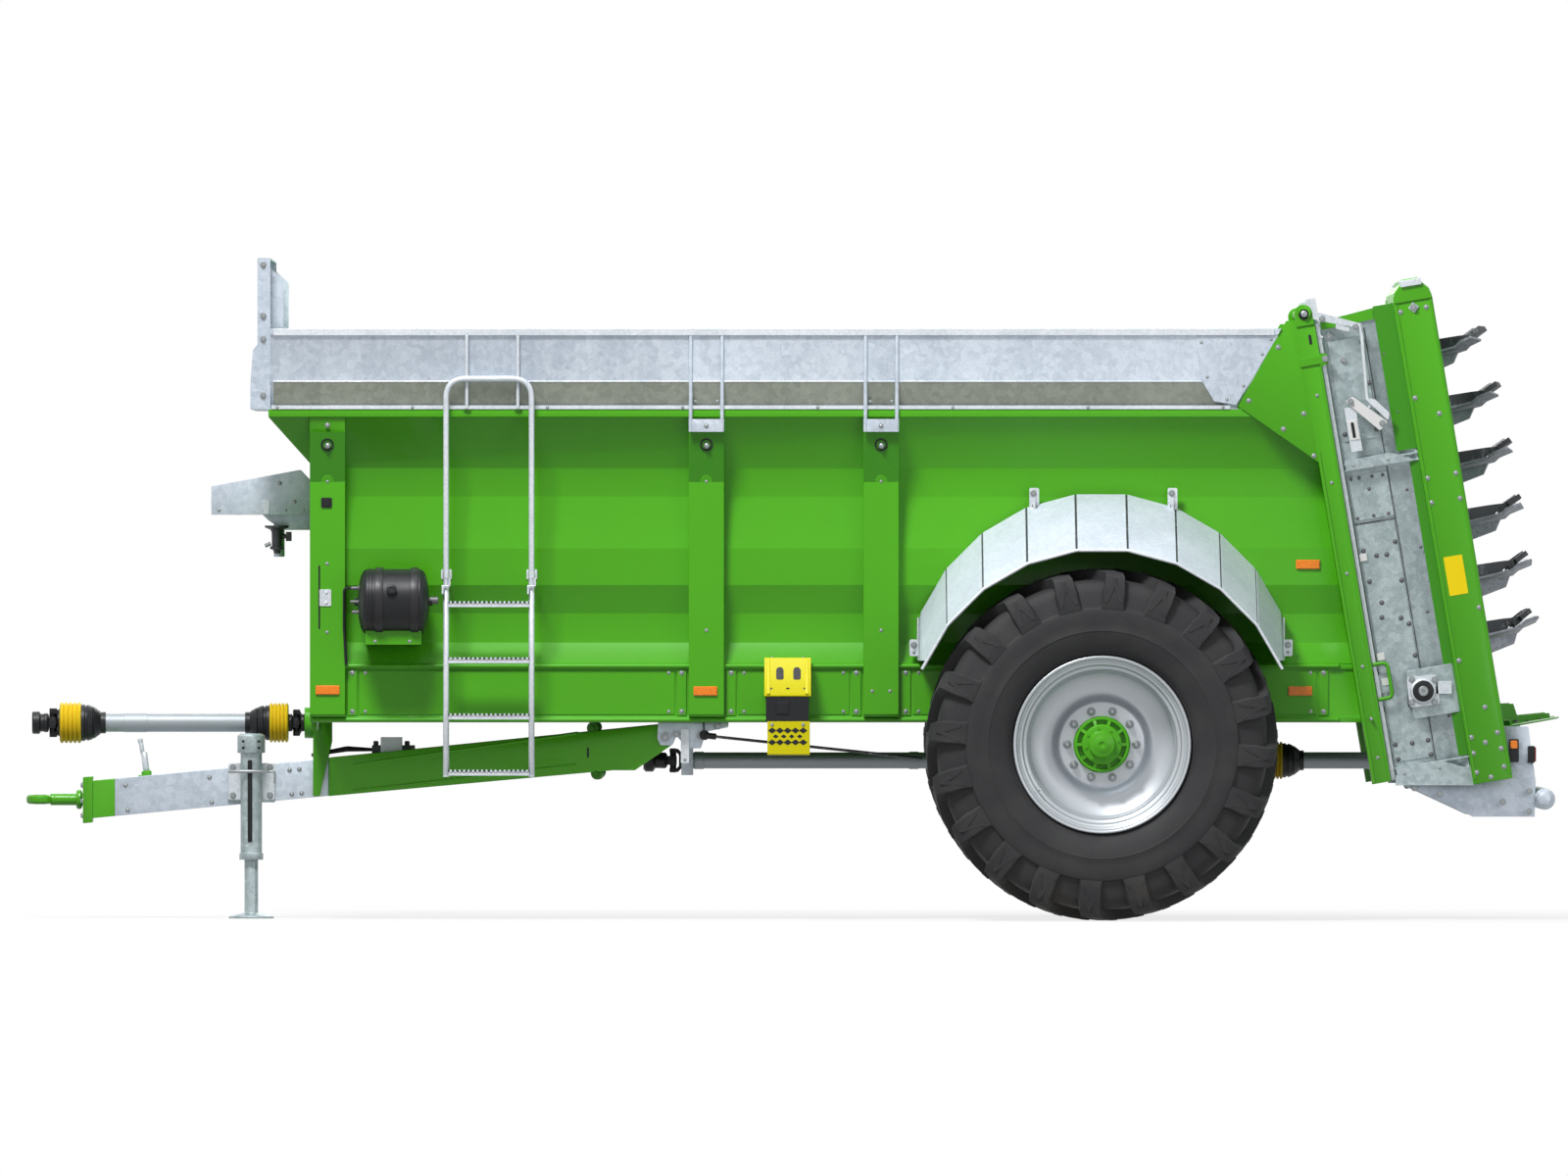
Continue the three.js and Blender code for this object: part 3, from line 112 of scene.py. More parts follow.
class Finish:
    """A material: one Principled shader, fed by noise, cells and position."""

    def __init__(self, name, **fixed):
        self.material = bpy.data.materials.new(name)
        self.material.use_nodes = True
        self.tree = self.material.node_tree
        self.shader = self.tree.nodes["Principled BSDF"]
        for socket, value in fixed.items():
            self.feed(self.shader, socket.replace("_", " "), value)
        self.place = self.add("TexCoord", output="Object")

    def add(self, kind, settings=None, sockets=None, output=0):
        """A node with its settings and the values or wires of its sockets. Returns one output."""
        node = self.tree.nodes.new("ShaderNode" + kind)
        for key, value in (settings or {}).items():
            setattr(node, key, value)
        for key, value in (sockets or {}).items():
            self.feed(node, key, value)
        return Wire(self, node.outputs[output])

    def feed(self, node, key, value):
        if isinstance(value, Wire):
            self.tree.links.new(value.socket, node.inputs[key])
        else:
            node.inputs[key].default_value = value

    def axis(self, letter):
        return self.add("SeparateXYZ", None, {0: self.place}, letter)

    def stretched(self, scale):
        return self.add("Mapping", None, {"Vector": self.place, "Scale": scale})

    def noise(self, scale, detail=2.0, where=None, roughness=0.5):
        return self.add("TexNoise", None, {"Vector": where or self.place, "Scale": scale, "Detail": detail,
                                           "Roughness": roughness})

    def grains(self, scale, where=None):
        """One random tone in each cell, 0 to 1."""
        cells = self.add("TexVoronoi", None, {"Vector": where or self.place, "Scale": scale}, "Color")
        return self.add("SeparateColor", None, {0: cells}, "Red")

    def mix(self, factor, first, second):
        return self.add("Mix", {"data_type": "RGBA"}, {0: factor, 6: first, 7: second}, 2)

    def shade(self, colour, tone):
        """A colour made lighter or darker by a wire round 1."""
        grey = self.add("CombineColor", None, {"Red": tone, "Green": tone, "Blue": tone})
        return self.add("Mix", {"data_type": "RGBA", "blend_type": "MULTIPLY"},
                        {0: 1.0, 6: colour, 7: grey}, 2)

    def colour(self, value):
        self.feed(self.shader, "Base Color", value)

    def rough(self, value):
        self.feed(self.shader, "Roughness", value)

    def bump(self, height, depth):
        normal = self.add("Bump", None, {"Height": height, "Distance": depth, "Strength": 1.0}, "Normal")
        self.feed(self.shader, "Normal", normal)
        return self.material


def road_dust(finish, base, dust, low, high, amount):
    """Base colour with a film of dust that thins out from one height up to another."""
    near_ground = 1 - finish.axis("Z").step(low, high)
    patches = finish.noise(7.0, 4.0).step(0.35, 0.75)
    return finish.mix(near_ground * patches * amount, base, dust)


def paint(name, colour, dull=0.3):
    finish = Finish(name, Coat_Weight=0.12, Coat_Roughness=0.08, Specular_IOR_Level=0.3)
    drift = finish.noise(1.1, 3.0)
    specks = finish.noise(60.0, 3.0)
    base = finish.shade(colour, 0.93 + 0.1 * drift + 0.04 * specks)
    finish.colour(road_dust(finish, base, linear(120, 118, 84), 0.25, 1.2, 0.16))
    finish.rough(dull + 0.14 * finish.noise(9.0, 4.0))
    return finish.bump(finish.noise(420.0, 2.0), 0.00012)


def zinc(name, dark, light, spangle=34.0, metallic=0.45):
    """Hot-dip zinc: faint flat crystals, finer ones between them, and a few runs."""
    finish = Finish(name, Metallic=metallic, Specular_IOR_Level=0.5)
    wide = finish.grains(spangle)
    fine = finish.grains(spangle * 3.2)
    runs = finish.noise(4.0, 5.0, finish.stretched((1.0, 1.0, 0.3)), 0.6)
    tone = 0.22 * wide + 0.14 * fine + 0.75 * runs - 0.05
    finish.colour(finish.mix(tone.step(0.12, 0.88), dark, light))
    finish.rough(0.36 + 0.12 * fine + 0.12 * runs)
    return finish.bump(fine * 0.25 + runs, 0.0005)


def bare_metal(name, colour, brushed=(1.0, 1.0, 1.0), metallic=0.85, dull=0.3, spread=0.16):
    finish = Finish(name, Metallic=metallic)
    streaks = finish.noise(120.0, 3.0, finish.stretched(brushed))
    drift = finish.noise(3.0, 3.0)
    finish.colour(finish.shade(colour, 1 - spread / 2 + spread * streaks * 0.6 + spread * drift * 0.6))
    finish.rough(dull + 0.16 * drift + 0.08 * streaks)
    return finish.bump(streaks, 0.00015)


def tyre_rubber():
    finish = Finish("tyre_rubber", Specular_IOR_Level=0.35)
    bloom = finish.noise(6.0, 5.0)
    pores = finish.noise(180.0, 3.0)
    base = finish.mix(bloom.step(0.3, 0.75), linear(41, 41, 43), linear(55, 55, 56))
    finish.colour(road_dust(finish, base, linear(104, 98, 88), 0.0, 0.35, 0.35))
    finish.rough(0.62 + 0.2 * bloom)
    return finish.bump(pores + 2.0 * bloom, 0.0005)


def moulded(name, colour, dull=0.42, grain=260.0, spread=0.1):
    """Plastic from a mould, or enamel on a casting."""
    finish = Finish(name, Specular_IOR_Level=0.28)
    drift = finish.noise(4.0, 3.0)
    finish.colour(finish.shade(colour, 1 - spread / 2 + spread * drift))
    finish.rough(dull + 0.18 * finish.noise(22.0, 3.0))
    return finish.bump(finish.noise(grain, 2.0), 0.0002)


def wear_steel():
    finish = Finish("wear_steel", Metallic=0.35)
    patches = finish.noise(9.0, 5.0)
    scratches = finish.noise(55.0, 4.0, finish.stretched((1.0, 1.0, 0.15)), 0.7)
    worn = (scratches * patches).step(0.26, 0.42)
    finish.colour(finish.mix(worn, linear(66, 69, 72), linear(128, 132, 135)))
    finish.rough(0.42 + 0.25 * patches - 0.12 * worn)
    return finish.bump(scratches + patches, 0.0004)


def lens(name, colour):
    """A lamp or reflector: clear plastic over a grid of small prisms."""
    finish = Finish(name, Coat_Weight=0.3, Coat_Roughness=0.06)
    prisms = finish.grains(330.0)
    finish.colour(finish.shade(colour, 0.82 + 0.3 * prisms))
    finish.rough(0.24 + 0.2 * prisms)
    return finish.bump(prisms, 0.0006)


SLOT_FINISHES = {
    "green_paint": {
        "green": paint("green_paint", linear(77, 169, 16)),
        # Lit and shaded copies of the green paint: the lit one is painted light, the shaded one painted shade.
        "painted_light_green": paint("lit_green_paint", linear(96, 196, 34)),
        "painted_shade_green": paint("shaded_green_paint", linear(58, 140, 14), 0.36),
    },
    "galvanised": {
        "zinc": zinc("galvanised_sheet", linear(172, 183, 196), linear(212, 221, 231)),
        # A darker zinc with a green tint: painted shade and a painted reflection of the green body.
        "painted_shade_wall_zinc": zinc("housing_sheet_painted_shade", linear(138, 152, 154), linear(190, 203, 206)),
        # A darker, duller copy of the zinc: painted shade.
        "painted_shade_band_zinc": zinc("shaded_galvanised_sheet", linear(126, 132, 120), linear(160, 164, 152)),
        "guard_zinc": zinc("mudguard_sheet", linear(186, 193, 207), linear(213, 219, 231), 60.0, 0.12),
        "bright_zinc": zinc("galvanised_tube", linear(190, 197, 204), linear(226, 231, 235), 90.0),
    },
    "silver_paint": {
        "silver": bare_metal("silver_wheel_paint", linear(186, 191, 196), metallic=0.5, spread=0.07),
        "white": moulded("white_enamel", linear(232, 232, 230)),
    },
    "tyre_rubber": {"rubber": tyre_rubber()},
    "black_plastic": {
        "black": moulded("black_enamel", linear(26, 27, 30), 0.34),
        "tank_black": moulded("tank_enamel", linear(38, 38, 41), 0.28),
    },
    "yellow_plastic": {
        "guard_yellow": moulded("guard_yellow", linear(222, 190, 26)),
        "chock_yellow": moulded("chock_yellow", linear(218, 208, 0), 0.36),
        "sticker_yellow": moulded("plain_yellow_plate", linear(255, 226, 10)),
        "amber": lens("amber_lens", linear(255, 136, 0)),
        "red": lens("red_lens", linear(178, 22, 20)),
    },
    "bare_steel": {
        "steel": bare_metal("drawn_steel", linear(156, 163, 168), (0.05, 1.0, 1.0), metallic=0.45, dull=0.42),
        "bolt_zinc": bare_metal("plated_bolts", linear(146, 151, 153), dull=0.34),
        "chain_steel": bare_metal("chain_steel", linear(98, 99, 101), metallic=0.7, dull=0.4, spread=0.35),
    },
    "dark_steel": {
        "dark": wear_steel(),
        "worn_zinc": zinc("worn_galvanised_plate", linear(122, 126, 133), linear(172, 177, 186), 60.0),
    },
}
FINISHES = {name: (material, slot) for slot, finishes in SLOT_FINISHES.items()
            for name, material in finishes.items()}


# ---- Shapes -------------------------------------------------------------------------------------
class Form:
    """A mesh under construction, at its place in the frame."""

    def __init__(self):
        self.points = []
        self.faces = []

    def add(self, shape, where=None):
        """Adds a form or its (points, faces), moved by a matrix if there is one. Returns the form."""
        points, faces = (shape.points, shape.faces) if isinstance(shape, Form) else shape
        first = len(self.points)
        turned_over = where is not None and where.determinant() < 0
        for point in points:
            self.points.append(where @ Vector(point) if where is not None else Vector(point))
        for face in faces:
            corners = [first + corner for corner in face]
            self.faces.append(corners[::-1] if turned_over else corners)
        return self

    def copies(self, head, direction, *places):
        """The same bolt head at each place, none of them turned."""
        for place in places:
            self.add(head, along(place, direction))
        return self

    def bolted(self, head, direction, *places):
        """The same bolt head at each place, each turned by chance."""
        for place in places:
            self.add(head, along(place, direction, chance.uniform(0, math.pi)))
        return self

    def tile(self, size, thickness, place):
        """A thin plate with round corners, from its width, height and corner radius."""
        return self.add(plate(rectangle(*size), thickness), place)

    def mirrored(self):
        """The same form on the other side of the machine."""
        return Form().add(self, Matrix.Scale(-1, 4, (0, 1, 0)))

    def piece(self, name, finish, body="chassis", slot=None, crease=38, bevel=0.0, stands_for=()):
        """The finished object, riding on a body. Its slot argument is not used."""
        material, usual_slot = FINISHES[finish]
        mesh = bpy.data.meshes.new(name)
        mesh.from_pydata(self.points, [], self.faces)
        mesh.materials.append(material)
        piece = bpy.data.objects.new(name, mesh)
        bpy.context.scene.collection.objects.link(piece)
        if bevel:
            soften(piece, bevel)
        else:
            mesh.shade_smooth()
            mesh.set_sharp_from_angle(angle=math.radians(crease))
        if stands_for:
            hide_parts(*stands_for)
        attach(piece, body)
        return piece

    def pair(self, name, finish, side=RIGHT, **looks):
        """The piece on the side where it was built, and its mirror image on the other side."""
        names = ("_right", "_left") if side == RIGHT else ("_left", "_right")
        self.piece(name + names[0], finish, **looks)
        self.mirrored().piece(name + names[1], finish, **looks)


def forms(count):
    return [Form() for _ in range(count)]


def soften(piece, width, angle=32, steps=2):
    """Rounds the edges of a piece by a width, and keeps its flats flat."""
    piece.data.shade_smooth()
    edge = piece.modifiers.new("rounded edges", "BEVEL")
    edge.width = width
    edge.segments = steps
    edge.limit_method = "ANGLE"
    edge.angle_limit = math.radians(angle)
    edge.harden_normals = True
    edge.use_clamp_overlap = True


def along(start, direction, roll=0.0):
    """A matrix that takes +Z to a direction and the origin to a point."""
    turn = Vector(direction).to_track_quat("Z", "Y").to_matrix().to_4x4()
    return Matrix.Translation(Vector(start)) @ turn @ Matrix.Rotation(roll, 4, "Z")


def polar(radius, angle):
    return radius * math.cos(angle), radius * math.sin(angle)


def circle(radius, sides, start=0.0):
    return [polar(radius, start + 2 * math.pi * i / sides) for i in range(sides)]


def revolved(profile, sides=32):
    """A profile of (radius, height) turned round Z. A radius of 0 closes it to a point."""
    points, rings = [], []
    for radius, height in profile:
        if radius < 1e-7:
            rings.append([len(points)] * sides)
            points.append((0, 0, height))
        else:
            rings.append(range(len(points), len(points) + sides))
            points += [(x, y, height) for x, y in circle(radius, sides)]
    faces = []
    for low, high in zip(rings, rings[1:]):
        for i in range(sides):
            j = (i + 1) % sides
            corners = [low[i], low[j], high[j], high[i]]
            corners = [c for n, c in enumerate(corners) if c != corners[n - 1]]
            if len(corners) > 2:
                faces.append(corners)
    return points, faces


def ring_form(profile, sides=32):
    """A closed profile of (radius, height) turned round Z, such as a ring with a hole."""
    return revolved([*profile, profile[0]], sides)


def plate(outline, depth, low=0.0):
    """An outline in X and Y, from a height up by a depth."""
    count = len(outline)
    area = sum(a[0] * b[1] - b[0] * a[1] for a, b in zip(outline, outline[1:] + outline[:1]))
    outline = outline if area > 0 else outline[::-1]
    points = [(x, y, low) for x, y in outline] + [(x, y, low + depth) for x, y in outline]
    faces = [list(range(count))[::-1], list(range(count, 2 * count))]
    faces += [[i, (i + 1) % count, count + (i + 1) % count, count + i] for i in range(count)]
    return points, faces


def oblong(x0, y0, x1, y1):
    """The outline of a rectangle, from two opposite corners."""
    return [(x0, y0), (x1, y0), (x1, y1), (x0, y1)]


def block(low, high):
    (x0, y0, z0), (x1, y1, z1) = low, high
    return plate(oblong(x0, y0, x1, y1), z1 - z0, z0)


def upright(y):
    """Stands a flat form up across y, so that its outline's Y goes up."""
    return Matrix(((1, 0, 0, 0), (0, 0, 1, y), (0, 1, 0, 0), (0, 0, 0, 1)))


def slab(outline, thickness):
    """A flat outline in space, thickened along its normal."""
    normal = (outline[1] - outline[0]).cross(outline[2] - outline[1]).normalized()
    count = len(outline)
    points = outline + [point + normal * thickness for point in outline]
    faces = [list(range(count))[::-1], list(range(count, 2 * count))]
    faces += [[i, (i + 1) % count, count + (i + 1) % count, count + i] for i in range(count)]
    return points, faces


def rounded(outline, radius, steps=4):
    """The outline with its corners rounded."""
    result = []
    for before, corner, after in zip(outline[-1:] + outline[:-1], outline, outline[1:] + outline[:1]):
        corner = Vector(corner)
        back, ahead = (Vector(before) - corner).normalized(), (Vector(after) - corner).normalized()
        half = back.angle(ahead) / 2
        reach = min(radius / math.tan(half), (Vector(before) - corner).length / 2,
                    (Vector(after) - corner).length / 2)
        first, last = corner + back * reach, corner + ahead * reach
        for i in range(steps + 1):
            t = i / steps
            result.append(tuple(first * (1 - t) ** 2 + corner * 2 * t * (1 - t) + last * t ** 2))
    return result


def rectangle(width, height, radius=0.0, centre=(0.0, 0.0)):
    x, y = width / 2, height / 2
    corners = oblong(centre[0] - x, centre[1] - y, centre[0] + x, centre[1] + y)
    return rounded(corners, radius) if radius else corners


def bent(corners, radius, steps=6):
    """A route through corners, with each bend rounded."""
    corners = [Vector(corner) for corner in corners]
    route = [corners[0]]
    for before, corner, after in zip(corners, corners[1:], corners[2:]):
        back, ahead = (before - corner).normalized(), (after - corner).normalized()
        reach = min(radius / math.tan(back.angle(ahead) / 2), (before - corner).length / 2.01,
                    (after - corner).length / 2.01)
        first, last = corner + back * reach, corner + ahead * reach
        route += [first * (1 - t) ** 2 + corner * 2 * t * (1 - t) + last * t ** 2
                  for t in (i / steps for i in range(steps + 1))]
    return route + [corners[-1]]


def swept(route, radius, sides=12):
    """A round bar along a route."""
    route = [Vector(point) for point in route]
    points, faces = [], []
    ahead = (route[1] - route[0]).normalized()
    across = ahead.orthogonal().normalized()
    for i, point in enumerate(route):
        towards = (route[min(i + 1, len(route) - 1)] - route[max(i - 1, 0)]).normalized()
        across = (across - towards * across.dot(towards)).normalized()
        up = towards.cross(across)
        points += [point + across * x + up * y for x, y in circle(radius, sides)]
    for i in range(len(route) - 1):
        for j in range(sides):
            k = (j + 1) % sides
            faces.append([i * sides + j, i * sides + k, (i + 1) * sides + k, (i + 1) * sides + j])
    faces.append(list(range(sides))[::-1])
    faces.append(list(range(len(points) - sides, len(points))))
    return points, faces


def rod(start, end, radius, sides=16, chamfer=0.0):
    """A straight round bar between two points, with its ends chamfered."""
    start, end = Vector(start), Vector(end)
    length = (end - start).length
    profile = [(0, 0), (radius - chamfer, 0), (radius, chamfer), (radius, length - chamfer),
               (radius - chamfer, length), (0, length)]
    points, faces = revolved(profile, sides)
    move = along(start, end - start)
    return [move @ Vector(point) for point in points], faces


def hexagon_bolt(across=0.019, height=0.008, washer=0.0):
    """A bolt head that stands on Z = 0, with a chamfered top and a washer under it."""
    form = Form()
    base = 0.0
    if washer:
        form.add(revolved([(0, 0), (washer, 0), (washer, 0.0018), (washer - 0.0008, 0.0026), (0, 0.0026)],
                          18))
        base = 0.0024
    radius = across / math.sqrt(3)
    form.add(plate(circle(radius, 6, math.pi / 6), height * 0.8, base))
    form.add(revolved([(0, base), (across * 0.47, base + height * 0.79), (across * 0.42, base + height),
                       (0, base + height)], 18))
    return form


def dome_bolt(radius=0.01, height=0.006):
    """A coach bolt's round head on a thin washer."""
    profile = [(0, 0), (radius * 1.35, 0), (radius * 1.35, 0.0015), (radius, 0.0017)]
    profile += [(radius * math.cos(a), 0.0017 + height * math.sin(a)) for a in (0.35, 0.75, 1.15)]
    return revolved([*profile, (0, 0.0017 + height)], 14)


def spread(start, end, count):
    """Values from start to end, both of them in."""
    return [start + (end - start) * i / (count - 1) for i in range(count)]


# ---- CAD pieces with their edges rounded ----------------------------------------------------------
def carried_over(node, finish, edge=0.0025, crease=32):
    """A CAD node's own mesh with clean flats and rounded edges, or sharp ones, which stands for the node."""
    cad = frame["nodes"][node]
    material, slot = FINISHES[finish]
    mesh = bmesh.new()
    mesh.from_mesh(cad.data)
    bmesh.ops.remove_doubles(mesh, verts=mesh.verts, dist=1e-5)
    bmesh.ops.dissolve_limit(mesh, angle_limit=math.radians(1.0), verts=mesh.verts, edges=mesh.edges)
    data = bpy.data.meshes.new(node + "_steel")
    mesh.to_mesh(data)
    mesh.free()
    data.materials.clear()
    data.materials.append(material)
    piece = bpy.data.objects.new(node + "_rounded", data)
    bpy.context.scene.collection.objects.link(piece)
    if edge:
        soften(piece, edge, crease)
    else:
        data.shade_flat()
    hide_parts(node)
    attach(piece, cad["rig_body"])
    return piece


# ---- Wheels ---------------------------------------------------------------------------------------
LUGS = 20  # on each side of the tread
LUG_LEAN = math.radians(15)  # how far a lug runs round the tyre between its middle and its shoulder
STUDS = 10
STUD_CIRCLE = 0.1755
RIM_HALF = 0.275
RING_FACE = 0.1085  # the wheel nuts' seat, out from the tyre's middle


def tyre_form(radius):
    side = [(0.448, 0.244), (0.462, 0.262), (0.47, 0.2655), (0.476, 0.276), (0.5, 0.291), (0.53, 0.3035),
            (0.56, 0.3125), (0.574, 0.3155), (0.5765, 0.3182), (0.582, 0.3182), (0.585, 0.317),
            (0.62, 0.321), (0.655, 0.3218), (0.68, 0.3205), (0.69, 0.3175), (0.698, 0.3035), (0.72, 0.299),
            (0.77, 0.29), (0.805, 0.279), (0.826, 0.26), (0.836, 0.235), (0.842, 0.15), (0.846, 0.0)]
    carcass = side + [(r, -w) for r, w in side[-2::-1]]
    form = Form().add(ring_form(carcass, 120))
    pitch = 2 * math.pi / LUGS
    for outward in (1, -1):
        flip = Matrix.Scale(outward, 4, (0, 0, 1))
        for i in range(LUGS):
            turn = Matrix.Rotation(pitch * (i + (0.0 if outward > 0 else 0.5)) - 0.08, 4, "Z")
            form.add(tyre_lug(radius), turn @ flip)
            form.add(lug_ridge(), turn @ flip)
    return form


def tyre_lug(radius):
    """A bar from the tread's middle over the shoulder and down the side wall, where it flares out."""
    stations = [  # top (radius, out), root (radius, out), half width of the top, of the root, share of lean
        ((radius, -0.035), (0.828, -0.035), 0.02, 0.032, -0.14),
        ((radius, 0.02), (0.828, 0.02), 0.028, 0.04, 0.06),
        ((radius - 0.002, 0.12), (0.828, 0.12), 0.031, 0.043, 0.42),
        ((radius - 0.008, 0.215), (0.815, 0.205), 0.037, 0.049, 0.78),
        ((radius - 0.017, 0.272), (0.8, 0.24), 0.044, 0.056, 0.97),
        ((radius - 0.038, 0.3005), (0.795, 0.262), 0.048, 0.06, 1.0),
        ((0.822, 0.312), (0.79, 0.272), 0.049, 0.061, 1.0),
        ((0.79, 0.3175), (0.775, 0.28), 0.052, 0.066, 1.0),
        ((0.75, 0.3205), (0.74, 0.285), 0.05, 0.066, 1.0),
        ((0.712, 0.321), (0.705, 0.29), 0.051, 0.068, 1.0),
        ((0.69, 0.3185), (0.684, 0.3), 0.056, 0.07, 1.0),
    ]
    points, faces = [], []
    for (top, top_out), (root, root_out), top_half, root_half, share in stations:
        middle = math.pi / 2 + LUG_LEAN * (1 - share)
        for r, out, half in ((root, root_out, -root_half), (top, top_out, -top_half),
                             (top, top_out, top_half), (root, root_out, root_half)):
            angle = middle + half / r
            points.append((*polar(r, angle), out))
    for i in range(len(stations) - 1):
        a, b = 4 * i, 4 * i + 4
        faces += [[a + j, b + j, b + (j + 1) % 4, a + (j + 1) % 4] for j in range(4)]
    faces += [[3, 2, 1, 0], [len(points) - 4, len(points) - 3, len(points) - 2, len(points) - 1]]
    return [Vector(point) for point in points], [face[::-1] for face in faces]


def lug_ridge():
    """The raised wedge on a lug's side wall face."""
    wedge = [(-0.006, 0.848), (0.006, 0.848), (0.046, 0.722), (0.03, 0.722), (0.0, 0.8), (-0.03, 0.722),
             (-0.046, 0.722)]
    points, faces = plate(wedge, 0.03, 0.2935)
    # The wedge leans in with the side wall towards the tread.
    return [Vector((x, y, z - max(0.0, y - 0.78) * 0.16)) for x, y, z in points], faces


def rim_form():
    face = RING_FACE
    outside = [(0.4515, 0.2655), (0.4505, 0.272), (0.4465, RIM_HALF), (0.44, 0.2742), (0.4345, 0.269),
               (0.4315, 0.26), (0.429, 0.248), (0.424, 0.241), (0.409, 0.237), (0.405, 0.233),
               (0.402, 0.224), (0.3985, 0.218), (0.385, 0.213), (0.381, 0.208), (0.3775, 0.196),
               (0.3745, 0.15), (0.3735, 0.11), (0.37, 0.098), (0.36, 0.089), (0.345, 0.079),
               (0.32, 0.065), (0.29, 0.056), (0.262, 0.057), (0.242, 0.068), (0.23, 0.086),
               (0.223, 0.099), (0.216, 0.106), (0.209, face), (0.144, face)]
    inside = [(0.144, 0.0845), (0.205, 0.0845), (0.23, 0.056), (0.26, 0.04), (0.3, 0.039),
              (0.34, 0.056), (0.364, 0.07), (0.364, -0.145), (0.404, -0.185), (0.43, -0.269),
              (0.44, -0.2742), (0.4505, -0.272), (0.4515, -0.2655), (0.41, -0.24), (0.41, -0.185),
              (0.37, -0.145), (0.37, 0.145), (0.41, 0.185), (0.412, 0.233), (0.435, 0.26)]
    form = Form().add(ring_form(outside + inside, 96))
    stem = [(0.395, 0.232), (0.39, 0.25), (0.386, 0.262)]
    form.add(swept([(*polar(r, 2.2), w) for r, w in stem], 0.0055, 10))
    return form


def wheel_nuts():
    form = Form()
    for i in range(STUDS):
        angle = math.pi / 2 + 2 * math.pi * i / STUDS
        place = Matrix.Translation((*polar(STUD_CIRCLE, angle), RING_FACE - 0.0005))
        place = place @ Matrix.Rotation(chance.uniform(0, math.pi), 4, "Z")
        form.add(revolved([(0, 0), (0.0215, 0), (0.0215, 0.002), (0.0185, 0.006), (0, 0.006)], 20), place)
        form.add(plate(circle(0.0175, 6), 0.018, 0.004), place)
        form.add(revolved([(0, 0.0215), (0.0146, 0.0215), (0.0115, 0.0245), (0.0105, 0.033), (0.0085, 0.036),
                           (0, 0.036)], 16), place)
    return form


def hub_form():
    drum = [(0, 0.02), (0.1435, 0.02), (0.1435, 0.113), (0.14, 0.116), (0.1405, 0.143), (0.136, 0.148),
            (0.127, 0.148), (0.124, 0.144), (0.1225, 0.123), (0.106, 0.123), (0.101, 0.16),
            (0.096, 0.165), (0.08, 0.168), (0.07, 0.169), (0.067, 0.175), (0.0665, 0.19),
            (0.064, 0.1945), (0.056, 0.1975), (0.044, 0.1985), (0.04, 0.201), (0.022, 0.204),
            (0.015, 0.2045), (0.011, 0.2), (0, 0.199)]
    form = Form().add(revolved(drum, 48))
    fin = [(0.098, 0.12), (0.13, 0.12), (0.13, 0.146), (0.112, 0.155), (0.098, 0.16)]
    for i in range(10):
        turn = Matrix.Rotation(2 * math.pi * (i + 0.5) / 10, 4, "Z")
        form.add(plate(fin, 0.016, -0.008), turn @ Matrix.Rotation(math.pi / 2, 4, "X"))
    form.add(revolved([(0, -0.065), (0.1, -0.065), (0.104, -0.06), (0.104, 0.03), (0, 0.03)], 32))
    for i in range(8):
        spot = (*polar(0.083, 2 * math.pi * i / 8 + 0.2), 0.167)
        form.add(hexagon_bolt(0.013, 0.006), Matrix.Translation(spot))
    return form


def wheels():
    for side_name, side in SIDES.items():
        low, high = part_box("tyre_" + side_name)
        middle = (low + high) / 2
        radius = (high.z - low.z) / 2
        body = "wheel_" + side_name
        place = Matrix.Translation(middle) @ Vector((0, side, 0)).to_track_quat("Z", "X").to_matrix().to_4x4()
        parts = [("tyre", tyre_form(radius), "rubber", 0.004), ("rim", rim_form(), "silver", 0.0),
                 ("hub", hub_form(), "green", 0.0012)]
        for part, form, finish, bevel in parts:
            Form().add(form, place).piece(f"{part}_{side_name}_detailed", finish, body=body, bevel=bevel,
                                          stands_for=[f"{part}_{side_name}"])
        Form().add(wheel_nuts(), place).piece(f"wheel_nuts_{side_name}", "bolt_zinc", body=body)


wheels()


# ---- Tub, posts and chassis -----------------------------------------------------------------------
OUT = Vector((0, 1, 0))  # outwards on the right side, which the left side mirrors
COACH_BOLT = dome_bolt(0.0095, 0.006)
SMALL_BOLT = dome_bolt(0.0065, 0.004)
HEX_BOLT = hexagon_bolt(0.021, 0.01, 0.017)
BIG_BOLT = hexagon_bolt(0.03, 0.015, 0.024)


def span(node):
    low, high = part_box(node)
    return low.x, high.x


RAIL_FACE = 0.7905  # the rail's outer face; its flanges stand out to 0.8
RAIL_LOW, RAIL_HIGH = 1.04, 1.272
BOLT_ROWS = (1.061, 1.258)
POSTS = [span(f"side_post_{place}_right") for place in ("front", "middle", "rear")]
POST_FACE = 0.83
POST_FOLD = 2.23  # where the post starts to lean out
PLATE_FACE = POST_FACE + 0.0045
PANEL_FACE = RAIL_FACE + 0.0035
# Off its middle and up, each post's lower bolts.
POST_BOLTS = [((-0.002, 1.815), (-0.002, 1.465)), ((0, 1.475),),
              ((0, 1.475), (-0.045, 1.165), (0.045, 1.165))]
SOCKET_Z = 2.42  # height of the plug in the leaning part
LEAN_RATE = 0.243  # how far it leans out with each metre up


def on_leaning_part(x, z, lift=0.0):
    """A place on the upper part of a post, where it leans out."""
    return Vector((x, 0.8765 + lift + (z - SOCKET_Z) * LEAN_RATE, z))


